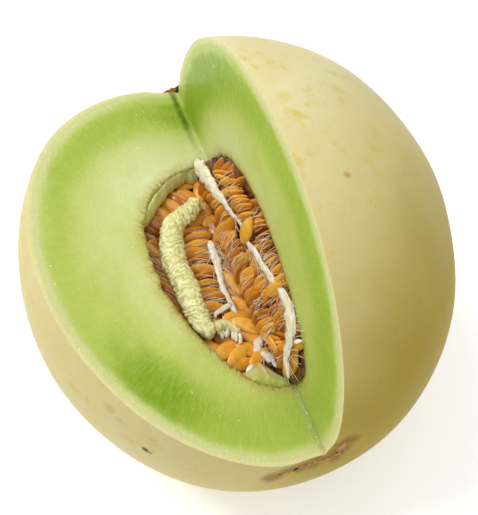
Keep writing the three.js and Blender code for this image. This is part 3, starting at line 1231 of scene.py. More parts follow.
@dataclass(frozen=True)
class Row:
    """A row of seeds on a slope, each leaning on the next."""

    side: Side
    first: tuple[float, float]
    last: tuple[float, float]
    headings: tuple[float, float]
    stand: float
    height: float
    count: int
    veils: float = 0.0

    def at(self, share: float) -> tuple[float, float, float]:
        """The place along the valley, the rise and the heading at a share of the row."""
        starts = (*self.first, self.headings[0])
        ends = (*self.last, self.headings[1])
        x, rise, heading = (a + (b - a) * share for a, b in zip(starts, ends))
        return x, rise, heading


ROWS = (
    Row(Side.SEAT, (-19, 6.4), (15, 12), (-84, -84), 60, 0.7, 12, 1.0),
    Row(Side.SEAT, (-18, -1), (19, 3), (-10, -38), 38, 0.5, 11, 0.5),
    Row(Side.SEAT, (-26, 20), (-33, 4), (-36, -34), 36, 0.7, 7, 0.2),
    Row(Side.SEAT, (-19, 23.5), (14, 23), (-38, -20), 48, -1.6, 10, 0.3),
    Row(Side.BACK, (-13, 9), (29, 10.5), (104, 84), 44, 0.6, 15, 0.8),
    Row(Side.BACK, (-28, 22), (-8, 25.5), (56, 66), 58, 0.3, 9, 0.5),
    Row(Side.BACK, (-25, 12), (-12, 14), (70, 95), 50, -0.2, 5, 0.3),
    Row(Side.BACK, (-3, 28.5), (37, 24.5), (74, 100), 58, -0.1, 13, 0.8),
    Row(Side.BACK, (4, 19), (32, 18.5), (88, 84), 56, -0.4, 10, 0.6),
    Row(Side.SEAT, (19, 10), (33, 15), (-60, -30), 30, -0.4, 5, 0.0),
    Row(Side.BACK, (31, 8), (44, 12), (60, 100), 40, -0.2, 5, 0.3),
)


@dataclass(frozen=True)
class Loose:
    """One seed that lies on a slope by itself."""

    side: Side
    x: float
    rise: float
    heading: float
    stand: float
    height: float


LOOSE = (
    Loose(Side.SEAT, -38.5, 3, -86, 8, 0.8),
    Loose(Side.SEAT, -34, -1, 16, 12, 1.8),
    Loose(Side.SEAT, -28, -2, 21, 14, 1.2),
    Loose(Side.SEAT, -23.4, 2.5, -113, 20, 1.2),
    Loose(Side.SEAT, -21.6, -2.8, -98, 15, 1.2),
    Loose(Side.SEAT, 18.1, 4.9, -83, 15, 1.7),
    Loose(Side.SEAT, 22.4, 2.4, -55, 10, 2.2),
    Loose(Side.SEAT, 25.6, 2.6, -39, 12, 1.2),
    Loose(Side.SEAT, 27.5, 17, -40, 20, -0.4),
    Loose(Side.SEAT, 29, 13.6, -112, 15, 0.9),
    Loose(Side.SEAT, 31.8, 10, -120, 20, 1.5),
    Loose(Side.SEAT, 31, 4.7, -59, 12, 1.7),
    Loose(Side.SEAT, 34, 2.6, -116, 18, 1.5),
    Loose(Side.SEAT, 35.3, 8.6, -93, 32, 0.7),
    Loose(Side.BACK, -2.1, 25.2, 104, 12, 2.6),
    Loose(Side.BACK, 21.9, 25.2, 75, 20, 2.4),
    Loose(Side.BACK, 32.4, 7.9, 27, 20, 1.4),
    Loose(Side.BACK, 42, 16.5, 84, 25, 0.6),
    Loose(Side.BACK, 41, 21, 64, 30, 0.4),
)


UNDER_TURNS = {Side.SEAT: (-110, -30), Side.BACK: (50, 120)}


@dataclass
class SeedHeap:
    """All of the full-grown seeds, as one piece. Those numbered by under lie half buried, and their
    lower tone is painted shade.
    """

    crease: Crease
    length: float = 12.0
    width: float = 5.1
    thickness: float = 2.05
    taper: float = 0.42
    under: int = 90
    under_from: float = -34
    under_to: float = 38
    buried: float = -1.5
    buried_shade: float = 0.25
    seed: int = 21

    def shape(self) -> tuple[np.ndarray, list]:
        """One drop-shaped seed from -1 to 1 along each axis, its point at +X, and its faces."""
        bpy.ops.mesh.primitive_uv_sphere_add(segments=16, ring_count=10, radius=1)
        ball = bpy.context.active_object
        bpy.ops.transform.rotate(value=math.pi / 2, orient_axis="Y", center_override=(0, 0, 0))
        bpy.ops.object.transform_apply(rotation=True)
        points = corners_of(ball)
        faces = [list(face.vertices) for face in ball.data.polygons]
        bpy.data.objects.remove(ball)
        if points[:, 0].argmax() == points[:, 2].argmax():
            points = points[:, [2, 1, 0]]
        slim = 1 - self.taper * np.clip(points[:, 0], 0, 1) ** 1.4
        slim *= 1 - 0.12 * np.clip(-points[:, 0], 0, 1) ** 2
        points[:, 1] *= slim
        points[:, 2] = np.sign(points[:, 2]) * np.abs(points[:, 2]) ** 0.86 * slim**0.6
        return points, faces

    def lay(self) -> list[Loose]:
        """Where every seed lies."""
        draw = np.random.default_rng(self.seed)
        seeds = list(LOOSE)
        for row in ROWS:
            for number in range(row.count):
                x, rise, heading = row.at(number / max(1, row.count - 1))
                seeds.append(
                    Loose(
                        row.side,
                        x + draw.normal(0, 0.35),
                        rise + draw.normal(0, 0.9),
                        heading + draw.normal(0, 5),
                        row.stand + draw.normal(0, 7),
                        row.height + draw.normal(0, 0.25),
                    )
                )
        for number in range(self.under):
            side = (Side.SEAT, Side.BACK)[number % 2]
            x = draw.uniform(self.under_from, self.under_to)
            tall = 31 * math.sqrt(max(0.05, 1 - ((x - 3) / 46) ** 2))
            turn = draw.uniform(*UNDER_TURNS[side])
            rise = draw.uniform(3, tall)
            seeds.append(Loose(side, x, rise, turn, draw.uniform(15, 60), self.buried))
        return seeds

    def build(self) -> bpy.types.Object:
        """Builds and dresses the heap."""
        draw = np.random.default_rng(self.seed + 1)
        shape, faces = self.shape()
        rim = np.clip(np.hypot(shape[:, 0], shape[:, 1]), 0, 1)
        seeds = self.lay()
        places = np.empty((len(seeds), len(shape), 3))
        notes = np.empty_like(places)
        for number, one in enumerate(seeds):
            slope = one.side.value
            turn = math.radians(one.heading)
            long = vector(1, 0, 0) * math.cos(turn) + slope.up * math.sin(turn)
            across = np.cross(slope.out, long)
            roll = np.array(Matrix.Rotation(math.radians(one.stand), 3, "X"))
            basis = np.stack([long, across, slope.out], 1) @ roll
            grow = draw.normal(1, 0.05)
            half = np.array([self.length, self.width, self.thickness]) / 2
            local = shape * half * (grow, grow * draw.normal(1, 0.05), draw.normal(1, 0.08))
            local[:, 2] += draw.normal(0, 0.25) * (1 - shape[:, 0] ** 2)
            middle = slope.at(one.x, one.rise, one.height)
            places[number] = self.crease.metres(middle + local @ basis.T)
            # Buried seeds get a lower tone: painted shade.
            own = draw.uniform(0, 1) * (self.buried_shade if one.height <= self.buried else 1)
            notes[number] = np.stack([np.full(len(shape), own), shape[:, 0], rim], 1)
        piece = copies("seeds", faces, places)
        keep(piece, "seed", notes.reshape(-1, 3))
        soften(piece)
        settle(piece, SeedFinish().make())
        return piece


def strings(
    name: str, lines: Sequence[np.ndarray], radii: Sequence[np.ndarray], flat: float,
    out: np.ndarray, crease: Crease, sides: int = 6,
) -> bpy.types.Object:
    """Thin strings, all in one piece, with closed ends.

    Args:
        name: the piece's name.
        lines: the places along each string, all of the same number.
        radii: the radius at each of those places.
        flat: how thick the strings are as a share of how wide.
        out: the direction in which they are thinner.
        crease: turns the places to frame metres.
        sides: how many sides a string has.

    Returns:
        The new piece.
    """
    path = np.array(lines)
    radius = np.array(radii)[..., None, None]
    ahead = unit(np.gradient(path, axis=1))
    side = unit(np.cross(ahead, out))
    over = np.cross(side, ahead)
    turn = np.linspace(0, 2 * math.pi, sides, endpoint=False)[None, None, :, None]
    ring = side[:, :, None] * np.cos(turn) + over[:, :, None] * np.sin(turn) * flat
    places = path[:, :, None] + ring * radius
    steps = path.shape[1]
    faces = [
        [a * sides + b, a * sides + (b + 1) % sides, (a + 1) * sides + (b + 1) % sides,
         (a + 1) * sides + b]
        for a in range(steps - 1)
        for b in range(sides)
    ]
    faces += [list(range(sides))[::-1], [(steps - 1) * sides + b for b in range(sides)]]
    piece = copies(name, faces, crease.metres(places.reshape(-1, steps * sides, 3)))
    soften(piece)
    return piece


@dataclass(frozen=True)
class Strand:
    """A thick strand of pulp over a slope: its [x, rise] points and its half widths there."""

    side: Side
    points: tuple[tuple[float, float], ...]
    widths: tuple[float, ...]
    height: float = 2.4


STRANDS = (
    Strand(Side.BACK, ((-41, 10.6), (-37.5, 12.2), (-33, 14), (-29.4, 14.9), (-25, 15.6),
                       (-20, 17.4), (-16.1, 18.6), (-8.9, 21.1), (-4.2, 22.6)),
           (2.4, 3.2, 3.0, 2.6, 2.0, 1.2, 0.8, 0.6, 0.8), 1.9),
    Strand(Side.BACK, ((-1, 21.6), (2.3, 22.4), (7, 23.6), (12.8, 24.9), (18, 26), (23.3, 27)),
           (0.8, 1.3, 1.5, 1.5, 1.6, 1.2), 2.2),
    Strand(Side.BACK, ((21.5, 27.4), (25, 28.2), (30.3, 28.6), (34.1, 27), (36.8, 25.2),
                       (39.1, 21.2), (41.4, 17.2), (43.6, 14.2), (46.4, 12.3), (48.7, 11.7)),
           (0.9, 1.8, 2.4, 2.7, 2.5, 2.1, 1.8, 1.4, 1.1, 0.7), 2.3),
    Strand(Side.SEAT, ((-13, 4.6), (-11.7, 3.7), (-6.5, 4.2), (-0.6, 4.9), (5.5, 5.7),
                       (11.6, 5.8), (17.9, 4.5)),
           (1.1, 1.5, 1.3, 1.1, 1.0, 1.0, 0.6), 2.5),
    Strand(Side.SEAT, ((17, 13.6), (15.1, 12.5), (14.2, 9.1), (12.5, 5.6)),
           (0.5, 0.9, 0.9, 0.6), 2.7),
    Strand(Side.SEAT, ((22.7, -6), (24.7, -4), (27, -1.5), (29.2, 1), (31.6, 2.8), (33.6, 1.4),
                       (36.2, -1.2), (39.5, -2)),
           (0.5, 0.9, 1.2, 1.5, 1.7, 1.7, 1.3, 0.7), 2.0),
)


@dataclass
class Pulp:
    """The pale strands over the seeds, and the fine fibres between them.

    spread says how many fibres spread from each strand, and taper how wide a fibre is along it.
    """

    crease: Crease
    seed: int = 33
    sides: int = 30
    rings: int = 90
    flatness: float = 0.34
    spread: tuple[int, ...] = (36, 44, 36, 24, 6, 5)
    taper: tuple[float, ...] = (0.5, 0.8, 1, 1, 1, 1, 1, 0.8, 0.45)
    thinnest: float = 0.07
    thickest: float = 0.2

    def _strand(self, number: int, strand: Strand) -> bpy.types.Object:
        """One thick strand: a soft flat band with fibres that run along it."""
        slope = strand.side.value
        xs, rises = np.array(strand.points).T
        line = Line(slope.at(xs, rises, np.full_like(xs, strand.height)))
        knots = np.linspace(0, 1, len(strand.widths))

        def place(u: np.ndarray, v: np.ndarray) -> Laid:
            """Lays the corners."""
            turn = 2 * math.pi * u
            ends = rounded(np.minimum(v, 1 - v), 0.06)
            run = v * line.length
            cos, sin = np.cos(turn), np.sin(turn)
            ridges = waves(np.stack([run * 0.16, 2.2 * cos, 2.2 * sin], 1), 1.5, self.seed + number)
            torn = waves(np.stack([run, cos * 2, sin * 2], 1), 3, number)
            wide = np.interp(v, knots, strand.widths) * ends * (1 + 0.2 * ridges + 0.2 * torn)
            side, over = line.sides(v, slope.out)
            sway = 0.35 * waves(np.stack([run, run * 0, run * 0], 1), 9, number + 7)
            middle = line.at(v) + side * sway[:, None]
            points = middle + ring(side, over, turn, self.flatness) * wide[:, None]
            return Laid(self.crease.metres(points), np.stack([run * 0.12, 1.6 * cos, 1.6 * sin], 1))

        return weld("strand", sheet("strand", place, self.sides, self.rings, "run"))

    def strands(self) -> bpy.types.Object:
        """Builds and dresses the thick strands."""
        pieces = [self._strand(number, strand) for number, strand in enumerate(STRANDS)]
        piece = join("pulp_strands", *pieces)
        soften(piece)
        finish = PulpFinish("pale_strand", rgb(252, 245, 226), rgb(242, 224, 188), 0.5, 0.7, 0.88)
        settle(piece, finish.make())
        return piece

    def _row_fibres(self, draw: np.random.Generator) -> dict[Side, list]:
        """Fibres that lie between and over the seeds of the rows."""
        share = np.linspace(0, 1, len(self.taper))
        found: dict[Side, list] = {side: [] for side in Side}
        for row in ROWS:
            slope = row.side.value
            for number in range(int(row.count * 5 * row.veils)):
                x, rise, heading = row.at(draw.uniform(-0.03, 1.03))
                turn = math.radians(heading + draw.normal(0, 11))
                long = draw.uniform(3.2, 6.4)
                start = draw.normal(0, 1.3)
                bow = draw.normal(0, 0.9)
                run = (share - 0.5) * 2 * long + start
                across = bow * (1 - (2 * share - 1) ** 2)
                top = row.height + 1.7 + draw.uniform(-0.3, 0.7)
                height = top - 1.6 * (2 * share - 1) ** 2
                found[row.side].append(slope.bowed((x, rise), turn, run, across, height))
        return found

    def _spread_fibres(self, draw: np.random.Generator) -> dict[Side, list]:
        """Fibres that spread from the thick strands over the seeds beside them."""
        share = np.linspace(0, 1, len(self.taper))
        found: dict[Side, list] = {side: [] for side in Side}
        for strand, many in zip(STRANDS, self.spread):
            slope = strand.side.value
            xs, rises = np.array(strand.points).T
            knots = np.linspace(0, 1, len(xs))
            for _ in range(many):
                at = draw.uniform(0.05, 0.86)
                x, rise = np.interp(at, knots, xs), np.interp(at, knots, rises)
                turn = math.radians(draw.choice([62, -62, 18, -14]) + draw.normal(0, 20))
                long = draw.uniform(4, 11)
                bow = draw.normal(0, 1.6)
                arch = np.sin(math.pi * share)
                height = strand.height - 0.2 - share * draw.uniform(0.4, 2.2) + 0.5 * arch
                fibre = slope.bowed((x, rise), turn, share * long, bow * arch, height)
                found[strand.side].append(fibre)
        return found

    def fibres(self) -> bpy.types.Object:
        """All of the fine fibres."""
        draw = np.random.default_rng(self.seed)
        rows = self._row_fibres(draw)
        spread = self._spread_fibres(draw)
        pieces = []
        for side in Side:
            lines = rows[side] + spread[side]
            taper = np.array(self.taper)
            radii = [taper * draw.uniform(self.thinnest, self.thickest) for _ in lines]
            pieces.append(strings("fibres", lines, radii, 0.55, side.value.out, self.crease, 5))
        piece = join("pulp_fibres", *pieces)
        finish = PulpFinish("fine_fibre", rgb(244, 230, 200), rgb(226, 192, 138), 0.4, 0.5)
        settle(piece, finish.make())
        return piece


CORD_POINTS = (
    (-28.6, 2.6), (-27.0, 5.0), (-23.6, 10.3), (-18.5, 16.8), (-9, 20), (4, 20.3), (15.5, 20.2),
    (20.6, 19.4), (23.2, 16.2),
)
ROOT_POINTS = ((22.4, 17.0), (20.8, 13.8), (20.8, 11.4), (22.4, 9.4), (25.0, 7.6))


@dataclass
class Cord:
    """The loose seed cord on the seeds of the seat slope, with its root and hanging threads."""

    crease: Crease
    height: float = 4.7
    start_radius: float = 2.5
    radius: float = 4.05
    fold: float = 0.5
    pitch: float = 2.3
    sides: int = 84
    rings: int = 380
    root_radius: float = 2.1
    root_thinning: float = 0.9
    root_sides: int = 30
    root_rings: int = 80
    hanging: int = 9
    hanging_seed: int = 52

    def line(self) -> Line:
        """The cord's middle line."""
        xs, rises = np.array(CORD_POINTS).T
        return Line(Side.SEAT.value.at(xs, rises, np.full_like(xs, self.height)))

    def folds(self, run: np.ndarray, turn: np.ndarray) -> np.ndarray:
        """The height of the folds, from 0 to 1, at millimetres along and a turn round."""
        ring = np.stack([run, 4 * np.cos(turn), 4 * np.sin(turn)], 1)
        bent = run + 1.3 * waves(ring, 8, 41) + 0.7 * waves(ring, 3.2, 42)
        folds = np.abs(np.cos(math.pi * bent / self.pitch)) ** 0.8
        lumps = 0.5 + 0.5 * waves(ring, 3.6, 43)
        beads = 0.5 + 0.5 * waves(ring, 1.5, 44)
        return np.clip(0.52 * folds + 0.3 * lumps + 0.24 * beads, 0, 1)

    def build(self) -> bpy.types.Object:
        """Builds and dresses the cord."""
        line = self.line()

        def place(u: np.ndarray, v: np.ndarray) -> Laid:
            """Lays the corners."""
            turn = 2 * math.pi * u
            grown = self.start_radius + (self.radius - self.start_radius) * smooth(0, 0.3, v)
            end = rounded(v, 0.025) * rounded(1 - v, 0.035)
            fold = self.folds(v * line.length, turn)
            swell = 0.3 * waves(np.stack([v * line.length, np.cos(turn) * 3, turn * 0], 1), 11, 45)
            thin = 1 - 0.3 * smooth(0.82, 1.0, v)
            radius = (grown * thin + swell + self.fold * (fold - 0.5) * 2) * end
            around = ring(*line.sides(v, Side.SEAT.value.out), turn, 0.94)
            return Laid(self.crease.metres(line.at(v) + around * radius[:, None]), fold)

        piece = weld("seed_cord_folds", sheet("cord", place, self.sides, self.rings, "fold"))
        soften(piece)
        settle(piece, CordFinish().make())
        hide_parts("seed_cord")
        return piece

    def root_line(self) -> Line:
        """The middle line of the thin root past the cord's end."""
        xs, rises = np.array(ROOT_POINTS).T
        heights = np.linspace(self.height - 0.4, self.height - 0.9, len(xs))
        return Line(Side.SEAT.value.at(xs, rises, heights))

    def root(self) -> bpy.types.Object:
        """Builds and dresses the root."""
        line = self.root_line()

        def place(u: np.ndarray, v: np.ndarray) -> Laid:
            """Lays the corners."""
            turn = 2 * math.pi * u
            fold = self.folds(v * line.length + 90, turn)
            wide = self.root_radius - self.root_thinning * v + 0.4 * (fold - 0.5)
            wide = wide * rounded(1 - v, 0.08)
            around = ring(*line.sides(v, Side.SEAT.value.out), turn)
            return Laid(self.crease.metres(line.at(v) + around * wide[:, None]), fold)

        piece = weld("cord_root", sheet("root", place, self.root_sides, self.root_rings, "fold"))
        soften(piece)
        settle(piece, CordFinish().make())
        return piece

    def threads(self) -> bpy.types.Object:
        """Builds and dresses the short white threads that hang from the root."""
        draw = np.random.default_rng(self.hanging_seed)
        root = self.root_line()
        slope = Side.SEAT.value
        share = np.linspace(0, 1, 12)
        tip = np.sqrt(np.clip(1 - np.clip((share - 0.8) / 0.2, 0, 1) ** 2, 0.02, 1))
        lines = []
        radii = []
        for number in range(self.hanging):
            start = root.at(np.array([0.16 + 0.8 * number / (self.hanging - 1)]))
            lean = draw.normal(0, 0.16) - 0.3 + 0.5 * number / self.hanging
            long = draw.uniform(3.2, 4.2)
            curl = draw.normal(0, 0.35)
            across = lean * share * long + curl * np.sin(math.pi * share)
            fall = 0.5 * np.sin(math.pi * share * 0.6) - 2.2 * share**2 + draw.normal(0, 0.2)
            path = vector(1, 0, 0) * (share * long)[:, None] + slope.up * across[:, None]
            lines.append(start + path + slope.out * fall[:, None])
            radii.append((0.6 + 0.14 * share + draw.normal(0, 0.03)) * tip)
        piece = strings("cord_threads", lines, radii, 0.95, slope.out, self.crease, 10)
        finish = PulpFinish("white_thread", rgb(246, 244, 222), rgb(222, 218, 166), 0.45, 0.4)
        settle(piece, finish.make())
        return piece


@dataclass
class Scars:
    """The corky scars at the two ends of the fruit."""

    crease: Crease
    blossom: tuple[tuple[float, float], ...] = (
        (-19.5, -1.2), (-14.4, -0.4), (-9, -2.4), (-4.4, -3.3), (-0.8, -3.9), (2.2, -3.4),
        (4.1, -1), (4.8, 3), (5.4, 6.8), (7.8, 10.6),
    )
    stem_radius: float = 6.8
    wall_top: tuple[tuple[float, float, float], ...] = (
        (-76.2, -7.8, -0.4), (-76.6, -5, 0.4), (-76.9, -2.2, 1.2), (-76.9, 0.4, 2.0),
        (-76.8, 2.2, 2.8), (-76.6, 3.4, 3.4), (-76.3, 4.4, 4.0),
    )
    wall_height: float = 3.6

    def on_skin(self, end: float, y: np.ndarray, z: np.ndarray, proud: np.ndarray) -> np.ndarray:
        """Places on the skin of one end of the fruit.

        Args:
            end: -1 for the stem end, 1 for the blossom end.
            y: how far each place is across.
            z: how far it is up.
            proud: how far it stands out of the skin.

        Returns:
            One place a row.
        """
        start = np.stack([y * 0, y, z], 1)
        lines = np.tile(vector(end, 0, 0), (len(y), 1))
        start[:, 0] = end * (reach(FRUIT.inside, start, lines, 100) + proud)
        return start

    def blossom_scar(self) -> bpy.types.Object:
        """The thin ragged scar across the blossom end."""
        line = Line([(0, y, z) for y, z in self.blossom])

        def place(u: np.ndarray, v: np.ndarray) -> Laid:
            """Lays the corners."""
            middle = line.at(v)
            side = np.cross(line.heading(v), vector(1, 0, 0))
            ends = spindle(v)
            across = np.stack([v * 40, u * 3, u * 0], 1)
            wide = (1.5 + 1.1 * smooth(0.45, 0.9, v) + 0.5 * waves(across, 6, 61)) * ends
            shift = (2 * u - 1) * wide + 0.35 * waves(across, 4, 62) * ends
            points = middle + side * shift[:, None]
            top = 1 - (2 * u - 1) ** 2
            proud = 0.75 * top * ends - 0.15 + 0.22 * waves(points, 1.6, 63) * top
            laid = self.crease.metres(self.on_skin(1, points[:, 1], points[:, 2], proud))
            return Laid(laid, smooth(0.3, 1.2, waves(points, 3.2, 64)) * 0.9)

        piece = sheet("blossom_scar", place, 12, 120, "cork")
        soften(piece)
        return piece

    def stem_scar(self) -> bpy.types.Object:
        """The round scar of the stem, with its raised rim, as far as the wedge left it."""
        first, last = CUT.seat_face + 2, CUT.back_face + 332

        def place(u: np.ndarray, v: np.ndarray) -> Laid:
            """Lays the corners."""
            turn = np.radians(first + (last - first) * u)
            ring = np.stack([np.cos(turn) * 8, np.sin(turn) * 8, v * 0], 1)
            radius = self.stem_radius * (1 + 0.09 * waves(ring, 9, 71)) * v
            y = 1.2 + radius * np.cos(turn)
            z = 0.2 + radius * np.sin(turn)
            rim = np.exp(-(((v - 0.78) / 0.14) ** 2))
            rough = 0.25 * waves(np.stack([y, z, v * 0], 1), 2.2, 72)
            proud = rim * (0.8 + rough * 2) - smooth(0.62, 0.2, v) * 0.2 - smooth(0.9, 1, v) * 0.5
            points = self.on_skin(-1, y, z, proud + rough * smooth(1, 0.9, v))
            return Laid(self.crease.metres(points), smooth(0.66, 0.4, v) * 0.95)

        piece = sheet("stem_scar", place, 90, 26, "cork")
        soften(piece)
        return piece

    def wall(self) -> bpy.types.Object:
        """The thin torn wall of cork that stands over the stem end of the crease."""
        top = Line(self.wall_top)

        def place(u: np.ndarray, v: np.ndarray) -> Laid:
            """Lays the corners."""
            torn = 0.5 * waves(np.stack([v * 22, v * 0, v * 0], 1), 3.2, 81)
            ends = spindle(v)
            over = np.sin(math.pi * u)
            away = np.cos(math.pi * u)
            points = top.at(v)
            drop = (over - 1) * self.wall_height
            points[:, 2] += drop + torn * over * ends + ends * 0.5 * over - 0.4
            points[:, 0] += away * (1.3 - 0.9 * over)
            points += (0.25 * waves(points, 1.8, 82))[:, None] * vector(1, 0.3, 0.3)
            # Painted shade: darker at the foot of the wall and on its side that faces along the
            # crease.
            dark = np.clip(0.25 - over + (away > 0) * 0.25, 0, 1)
            return Laid(self.crease.metres(points), dark)

        piece = sheet("stem_wall", place, 18, 60, "cork")
        soften(piece)
        return piece

    def build(self) -> bpy.types.Object:
        """Builds and dresses the scars as one piece."""
        piece = join("corky_scars", self.blossom_scar(), self.stem_scar(), self.wall())
        settle(piece, CorkFinish().make())
        return piece


@dataclass
class Extras:
    """Unripe white seeds, and the wet gel in the crease.

    white lists the seeds by side, place, rise and heading. beads lists the gel's runs by their
    ends along the crease and their width.
    """

    crease: Crease
    white: tuple[tuple[Side, float, float, float], ...] = (
        (Side.BACK, 42.6, 26.5, 64),
        (Side.SEAT, 38.0, 8.6, -120),
    )
    beads: tuple[tuple[float, float, float], ...] = ((47.5, 72.5, 1.7), (-55, -40, 1.5))

    def white_seeds(self) -> bpy.types.Object:
        """The few thin unripe seeds."""
        share = np.linspace(0, 1, 12)
        lines = []
        radii = []
        for side, x, rise, heading in self.white:
            turn = math.radians(heading)
            run = (share - 0.5) * 4.6
            height = 2.6 + 0.5 * (1 - (2 * share - 1) ** 2)
            slope = side.value
            lines.append(slope.at(x + run * math.cos(turn), rise + run * math.sin(turn), height))
            radii.append(0.95 * np.clip(np.sin(math.pi * share), 0.05, 1) ** 0.7)
        piece = strings("white_seeds", lines, radii, 0.5, vector(0, 0, 1), self.crease, 10)
        finish = PulpFinish("unripe_seed", rgb(246, 244, 232), rgb(226, 220, 196), 0.4, 0.7)
        settle(piece, finish.make())
        return piece

    def _bead(self, number: int, start: float, end: float, wide: float) -> bpy.types.Object:
        """One run of gel, which fills the bottom of the notch a little."""

        def place(u: np.ndarray, v: np.ndarray) -> Laid:
            """Lays the corners."""
            x = start + (end - start) * v
            line = wandered(np.stack([x, x * 0, x * 0], 1))
            beads = waves(np.stack([x, u, x * 0], 1), 4.5, 91 + number)
            size = wide * spindle(v) * (1 + 0.35 * beads) + 0.15
            seat = line + polar(1, CUT.seat_face) * (size * 1.5)[:, None]
            back = line + polar(1, CUT.back_face) * (size * 1.1)[:, None]
            sag = np.sin(math.pi * u) * size * 0.35
            points = seat * (1 - u)[:, None] + back * u[:, None]
            return Laid(self.crease.metres(points - polar(1, CUT.middle) * sag[:, None]))

        return sheet("gel", place, 10, 60)

    def gel(self) -> bpy.types.Object:
        """The wet gel."""
        piece = join("clear_gel", *(self._bead(n, *bead) for n, bead in enumerate(self.beads)))
        soften(piece)
        settle(piece, GelFinish().make())
        return piece


SEAT = CUT.seat_face
BACK = CUT.back_face
MIDDLE = CUT.middle
BLOSSOM_EDGE = (
    (SEAT, 21.5, 43.0), (SEAT, 18.0, 40.4), (SEAT, 14.0, 39.0), (SEAT, 10.5, 37.0),
    (SEAT, 8.0, 36.4), (SEAT, 5.0, 39.4), (SEAT, 2.2, 42.6), (MIDDLE, 0.2, 43.4),
    (BACK, 2.6, 43.6), (BACK, 6.0, 44.2), (BACK, 9.5, 45.4), (BACK, 12.5, 46.8),
)
STEM_EDGE = (
    (SEAT, 34.0, -19.5), (SEAT, 30.0, -23.0), (SEAT, 25.4, -27.4), (SEAT, 19.3, -33.4),
    (SEAT, 14.0, -36.8), (SEAT, 9.6, -38.6), (SEAT, 5.0, -38.2), (MIDDLE, 0.2, -36.6),
    (BACK, 4.0, -38.2), (BACK, 8.0, -39.6),
)
BLOSSOM_LIP = LipFinish("blossom_lip", rgb(198, 170, 104), rgb(204, 202, 132), rgb(184, 198, 98))
STEM_LIP = LipFinish("stem_lip", rgb(190, 170, 92), rgb(214, 213, 146), rgb(202, 208, 132))


@dataclass
class Lip:
    """Soft flesh that closes an end of the cavity and hangs a little over the seeds.

    Its free edge is given as elevation, radius and place along the fruit. It joins the flesh
    at the cavity's rim and ends a little way under the cut face.
    """

    crease: Crease
    name: str
    edge: tuple[tuple[float, float, float], ...]
    finish: LipFinish
    droop: float = 3.4
    past: float = 1.6
    sunk: float = 2.2
    lean: float = 51.0
    thickness: float = 0.8

    def build(self) -> bpy.types.Object:
        """Builds and dresses the lip."""
        knots = np.linspace(0, 1, len(self.edge))
        free_edge = np.array([vector(x, 0, 0) + polar(far, turn) for turn, far, x in self.edge])
        ahead = np.tile(vector(np.sign(self.edge[0][2]), 0, 0), (len(knots), 1))
        far = reach(in_cavity, free_edge, ahead, 30)
        joined_edge = free_edge + ahead * (far + self.past)[:, None]
        sides = [np.clip(CUT.middle - turn, -1, 1) for turn, _, _ in self.edge]
        normals = np.array([polar(1, CUT.middle + side * self.lean) for side in sides])

        def between(table: np.ndarray, u: np.ndarray) -> np.ndarray:
            """Rows of a table at shares of its length."""
            return np.stack([np.interp(u, knots, table[:, k]) for k in range(3)], 1)

        def place(u: np.ndarray, v: np.ndarray) -> Laid:
            """Lays the corners."""
            ragged = 0.5 * waves(np.stack([u * 40] * 3, 1), 7, 97)
            free = between(free_edge, u) + vector(1, 0, 0) * ragged[:, None]
            points = wandered(free + (between(joined_edge, u) - free) * v[:, None])
            down = -self.droop * (1 - v) ** 2.2 - self.sunk * smooth(0.6, 1.0, v) - 0.3
            down = down + 0.2 * waves(points, 6, 98) * np.sin(math.pi * v) * smooth(1, 0.7, v)
            points = points + unit(between(normals, u)) * down[:, None]
            return Laid(self.crease.metres(points), v)

        piece = sheet(self.name, place, 90, 40, "lip")
        solid = piece.modifiers.new("thickness", "SOLIDIFY")
        solid.thickness = self.thickness * MM
        solid.offset = 0
        only(piece)
        bpy.ops.object.modifier_apply(modifier=solid.name)
        soften(piece)
        settle(piece, self.finish.make())
        return piece


@dataclass(frozen=True)
class Lamp:
    """A square soft light, in a direction from the fruit, which it faces."""

    name: str
    heading: tuple[float, float, float]
    size: float
    power: float
    far: float = 0.9

    def build(self, middle: np.ndarray) -> None:
        """Adds the light round a middle in frame metres."""
        bpy.ops.object.light_add(type="AREA")
        light = bpy.context.active_object
        light.name = self.name
        light.data.shape = "SQUARE"
        light.data.size = self.size
        light.data.energy = self.power
        z = unit(np.array(self.heading))
        x = unit(np.cross(vector(0, 1, 0.01), z))
        turn = np.eye(4)
        turn[:3, :3] = np.stack([x, np.cross(z, x), z], 1)
        turn[:3, 3] = middle + z * self.far
        light.matrix_world = Matrix(turn.tolist())


LAMPS = (
    Lamp("key", (-0.46, -0.38, 0.85), 0.6, 4.5),
    Lamp("top", (0.1, 0.25, 1.0), 0.8, 2.2),
    Lamp("glint", (-0.05, -0.45, 0.9), 0.1, 1.3),
)


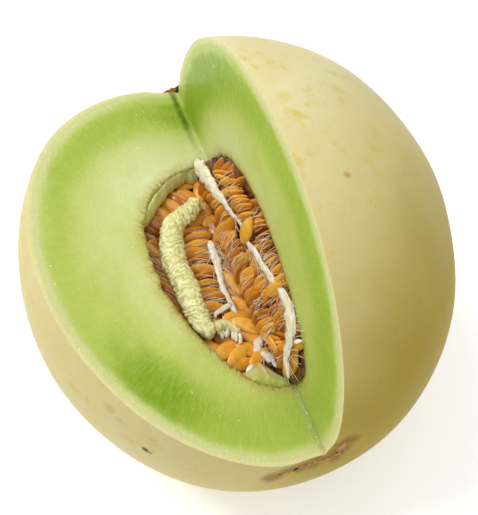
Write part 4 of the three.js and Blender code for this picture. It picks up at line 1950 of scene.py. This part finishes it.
@dataclass
class Studio:
    """The camera, the lights, the pale world and the floor.

    right, up and back are the camera's own axes, and its eye lies in crease millimetres.
    """

    crease: Crease
    eye: tuple[float, float, float] = (218.43, -87.43, 469.65)
    right: tuple[float, float, float] = (0.36105, 0.93254, 0.00176)
    up: tuple[float, float, float] = (-0.83196, 0.32126, 0.45237)
    back: tuple[float, float, float] = (0.42129, -0.16479, 0.89183)
    focal_pixels: float = 1500.0
    tall_pixels: float = 515.0
    sensor: float = 36.0
    near: float = 0.01
    world_light: float = 0.46
    floor_size: float = 6.0

    def camera(self) -> None:
        """Adds the camera at the photograph's angle."""
        bpy.ops.object.camera_add()
        camera = bpy.context.active_object
        turn = np.eye(4)
        turn[:3, :3] = np.stack([self.right, self.up, self.back], 1)
        turn[:3, 3] = self.crease.metres(np.array(self.eye))
        camera.matrix_world = Matrix(turn.tolist())
        camera.data.sensor_width = self.sensor
        camera.data.lens = self.focal_pixels / self.tall_pixels * self.sensor
        camera.data.clip_start = self.near
        bpy.context.scene.camera = camera

    def world(self) -> None:
        """Sets the pale light from all round, and the plain look."""
        scene = bpy.context.scene
        world = bpy.data.worlds.new("pale_room")
        world.use_nodes = True
        background = world.node_tree.nodes["Background"]
        background.inputs["Color"].default_value = (1, 1, 1, 1)
        background.inputs["Strength"].default_value = self.world_light
        scene.world = world
        scene.view_settings.view_transform = "Standard"

    def floor(self) -> None:
        """Adds the floor."""
        bpy.ops.mesh.primitive_plane_add(size=self.floor_size)
        floor = named(bpy.context.active_object, "floor")
        floor.data.materials.append(FloorFinish().make())

    def build(self) -> None:
        """Builds the whole studio."""
        self.camera()
        self.world()
        self.floor()
        for lamp in LAMPS:
            lamp.build(self.crease.metres(vector(0, 0, 0)))


def main() -> None:
    """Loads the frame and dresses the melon."""
    logging.basicConfig(level=logging.INFO, format="%(message)s")
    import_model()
    crease = Crease()
    Studio(crease).build()
    Body(crease).build()
    Bed(crease).build()
    SeedHeap(crease).build()
    pulp = Pulp(crease)
    pulp.strands()
    pulp.fibres()
    cord = Cord(crease)
    cord.build()
    cord.root()
    cord.threads()
    Scars(crease).build()
    extras = Extras(crease)
    extras.white_seeds()
    extras.gel()
    Lip(crease, "blossom_end_lip", BLOSSOM_EDGE, BLOSSOM_LIP).build()
    Lip(crease, "stem_end_lip", STEM_EDGE, STEM_LIP, droop=4.2).build()


if __name__ == "__main__":
    main()
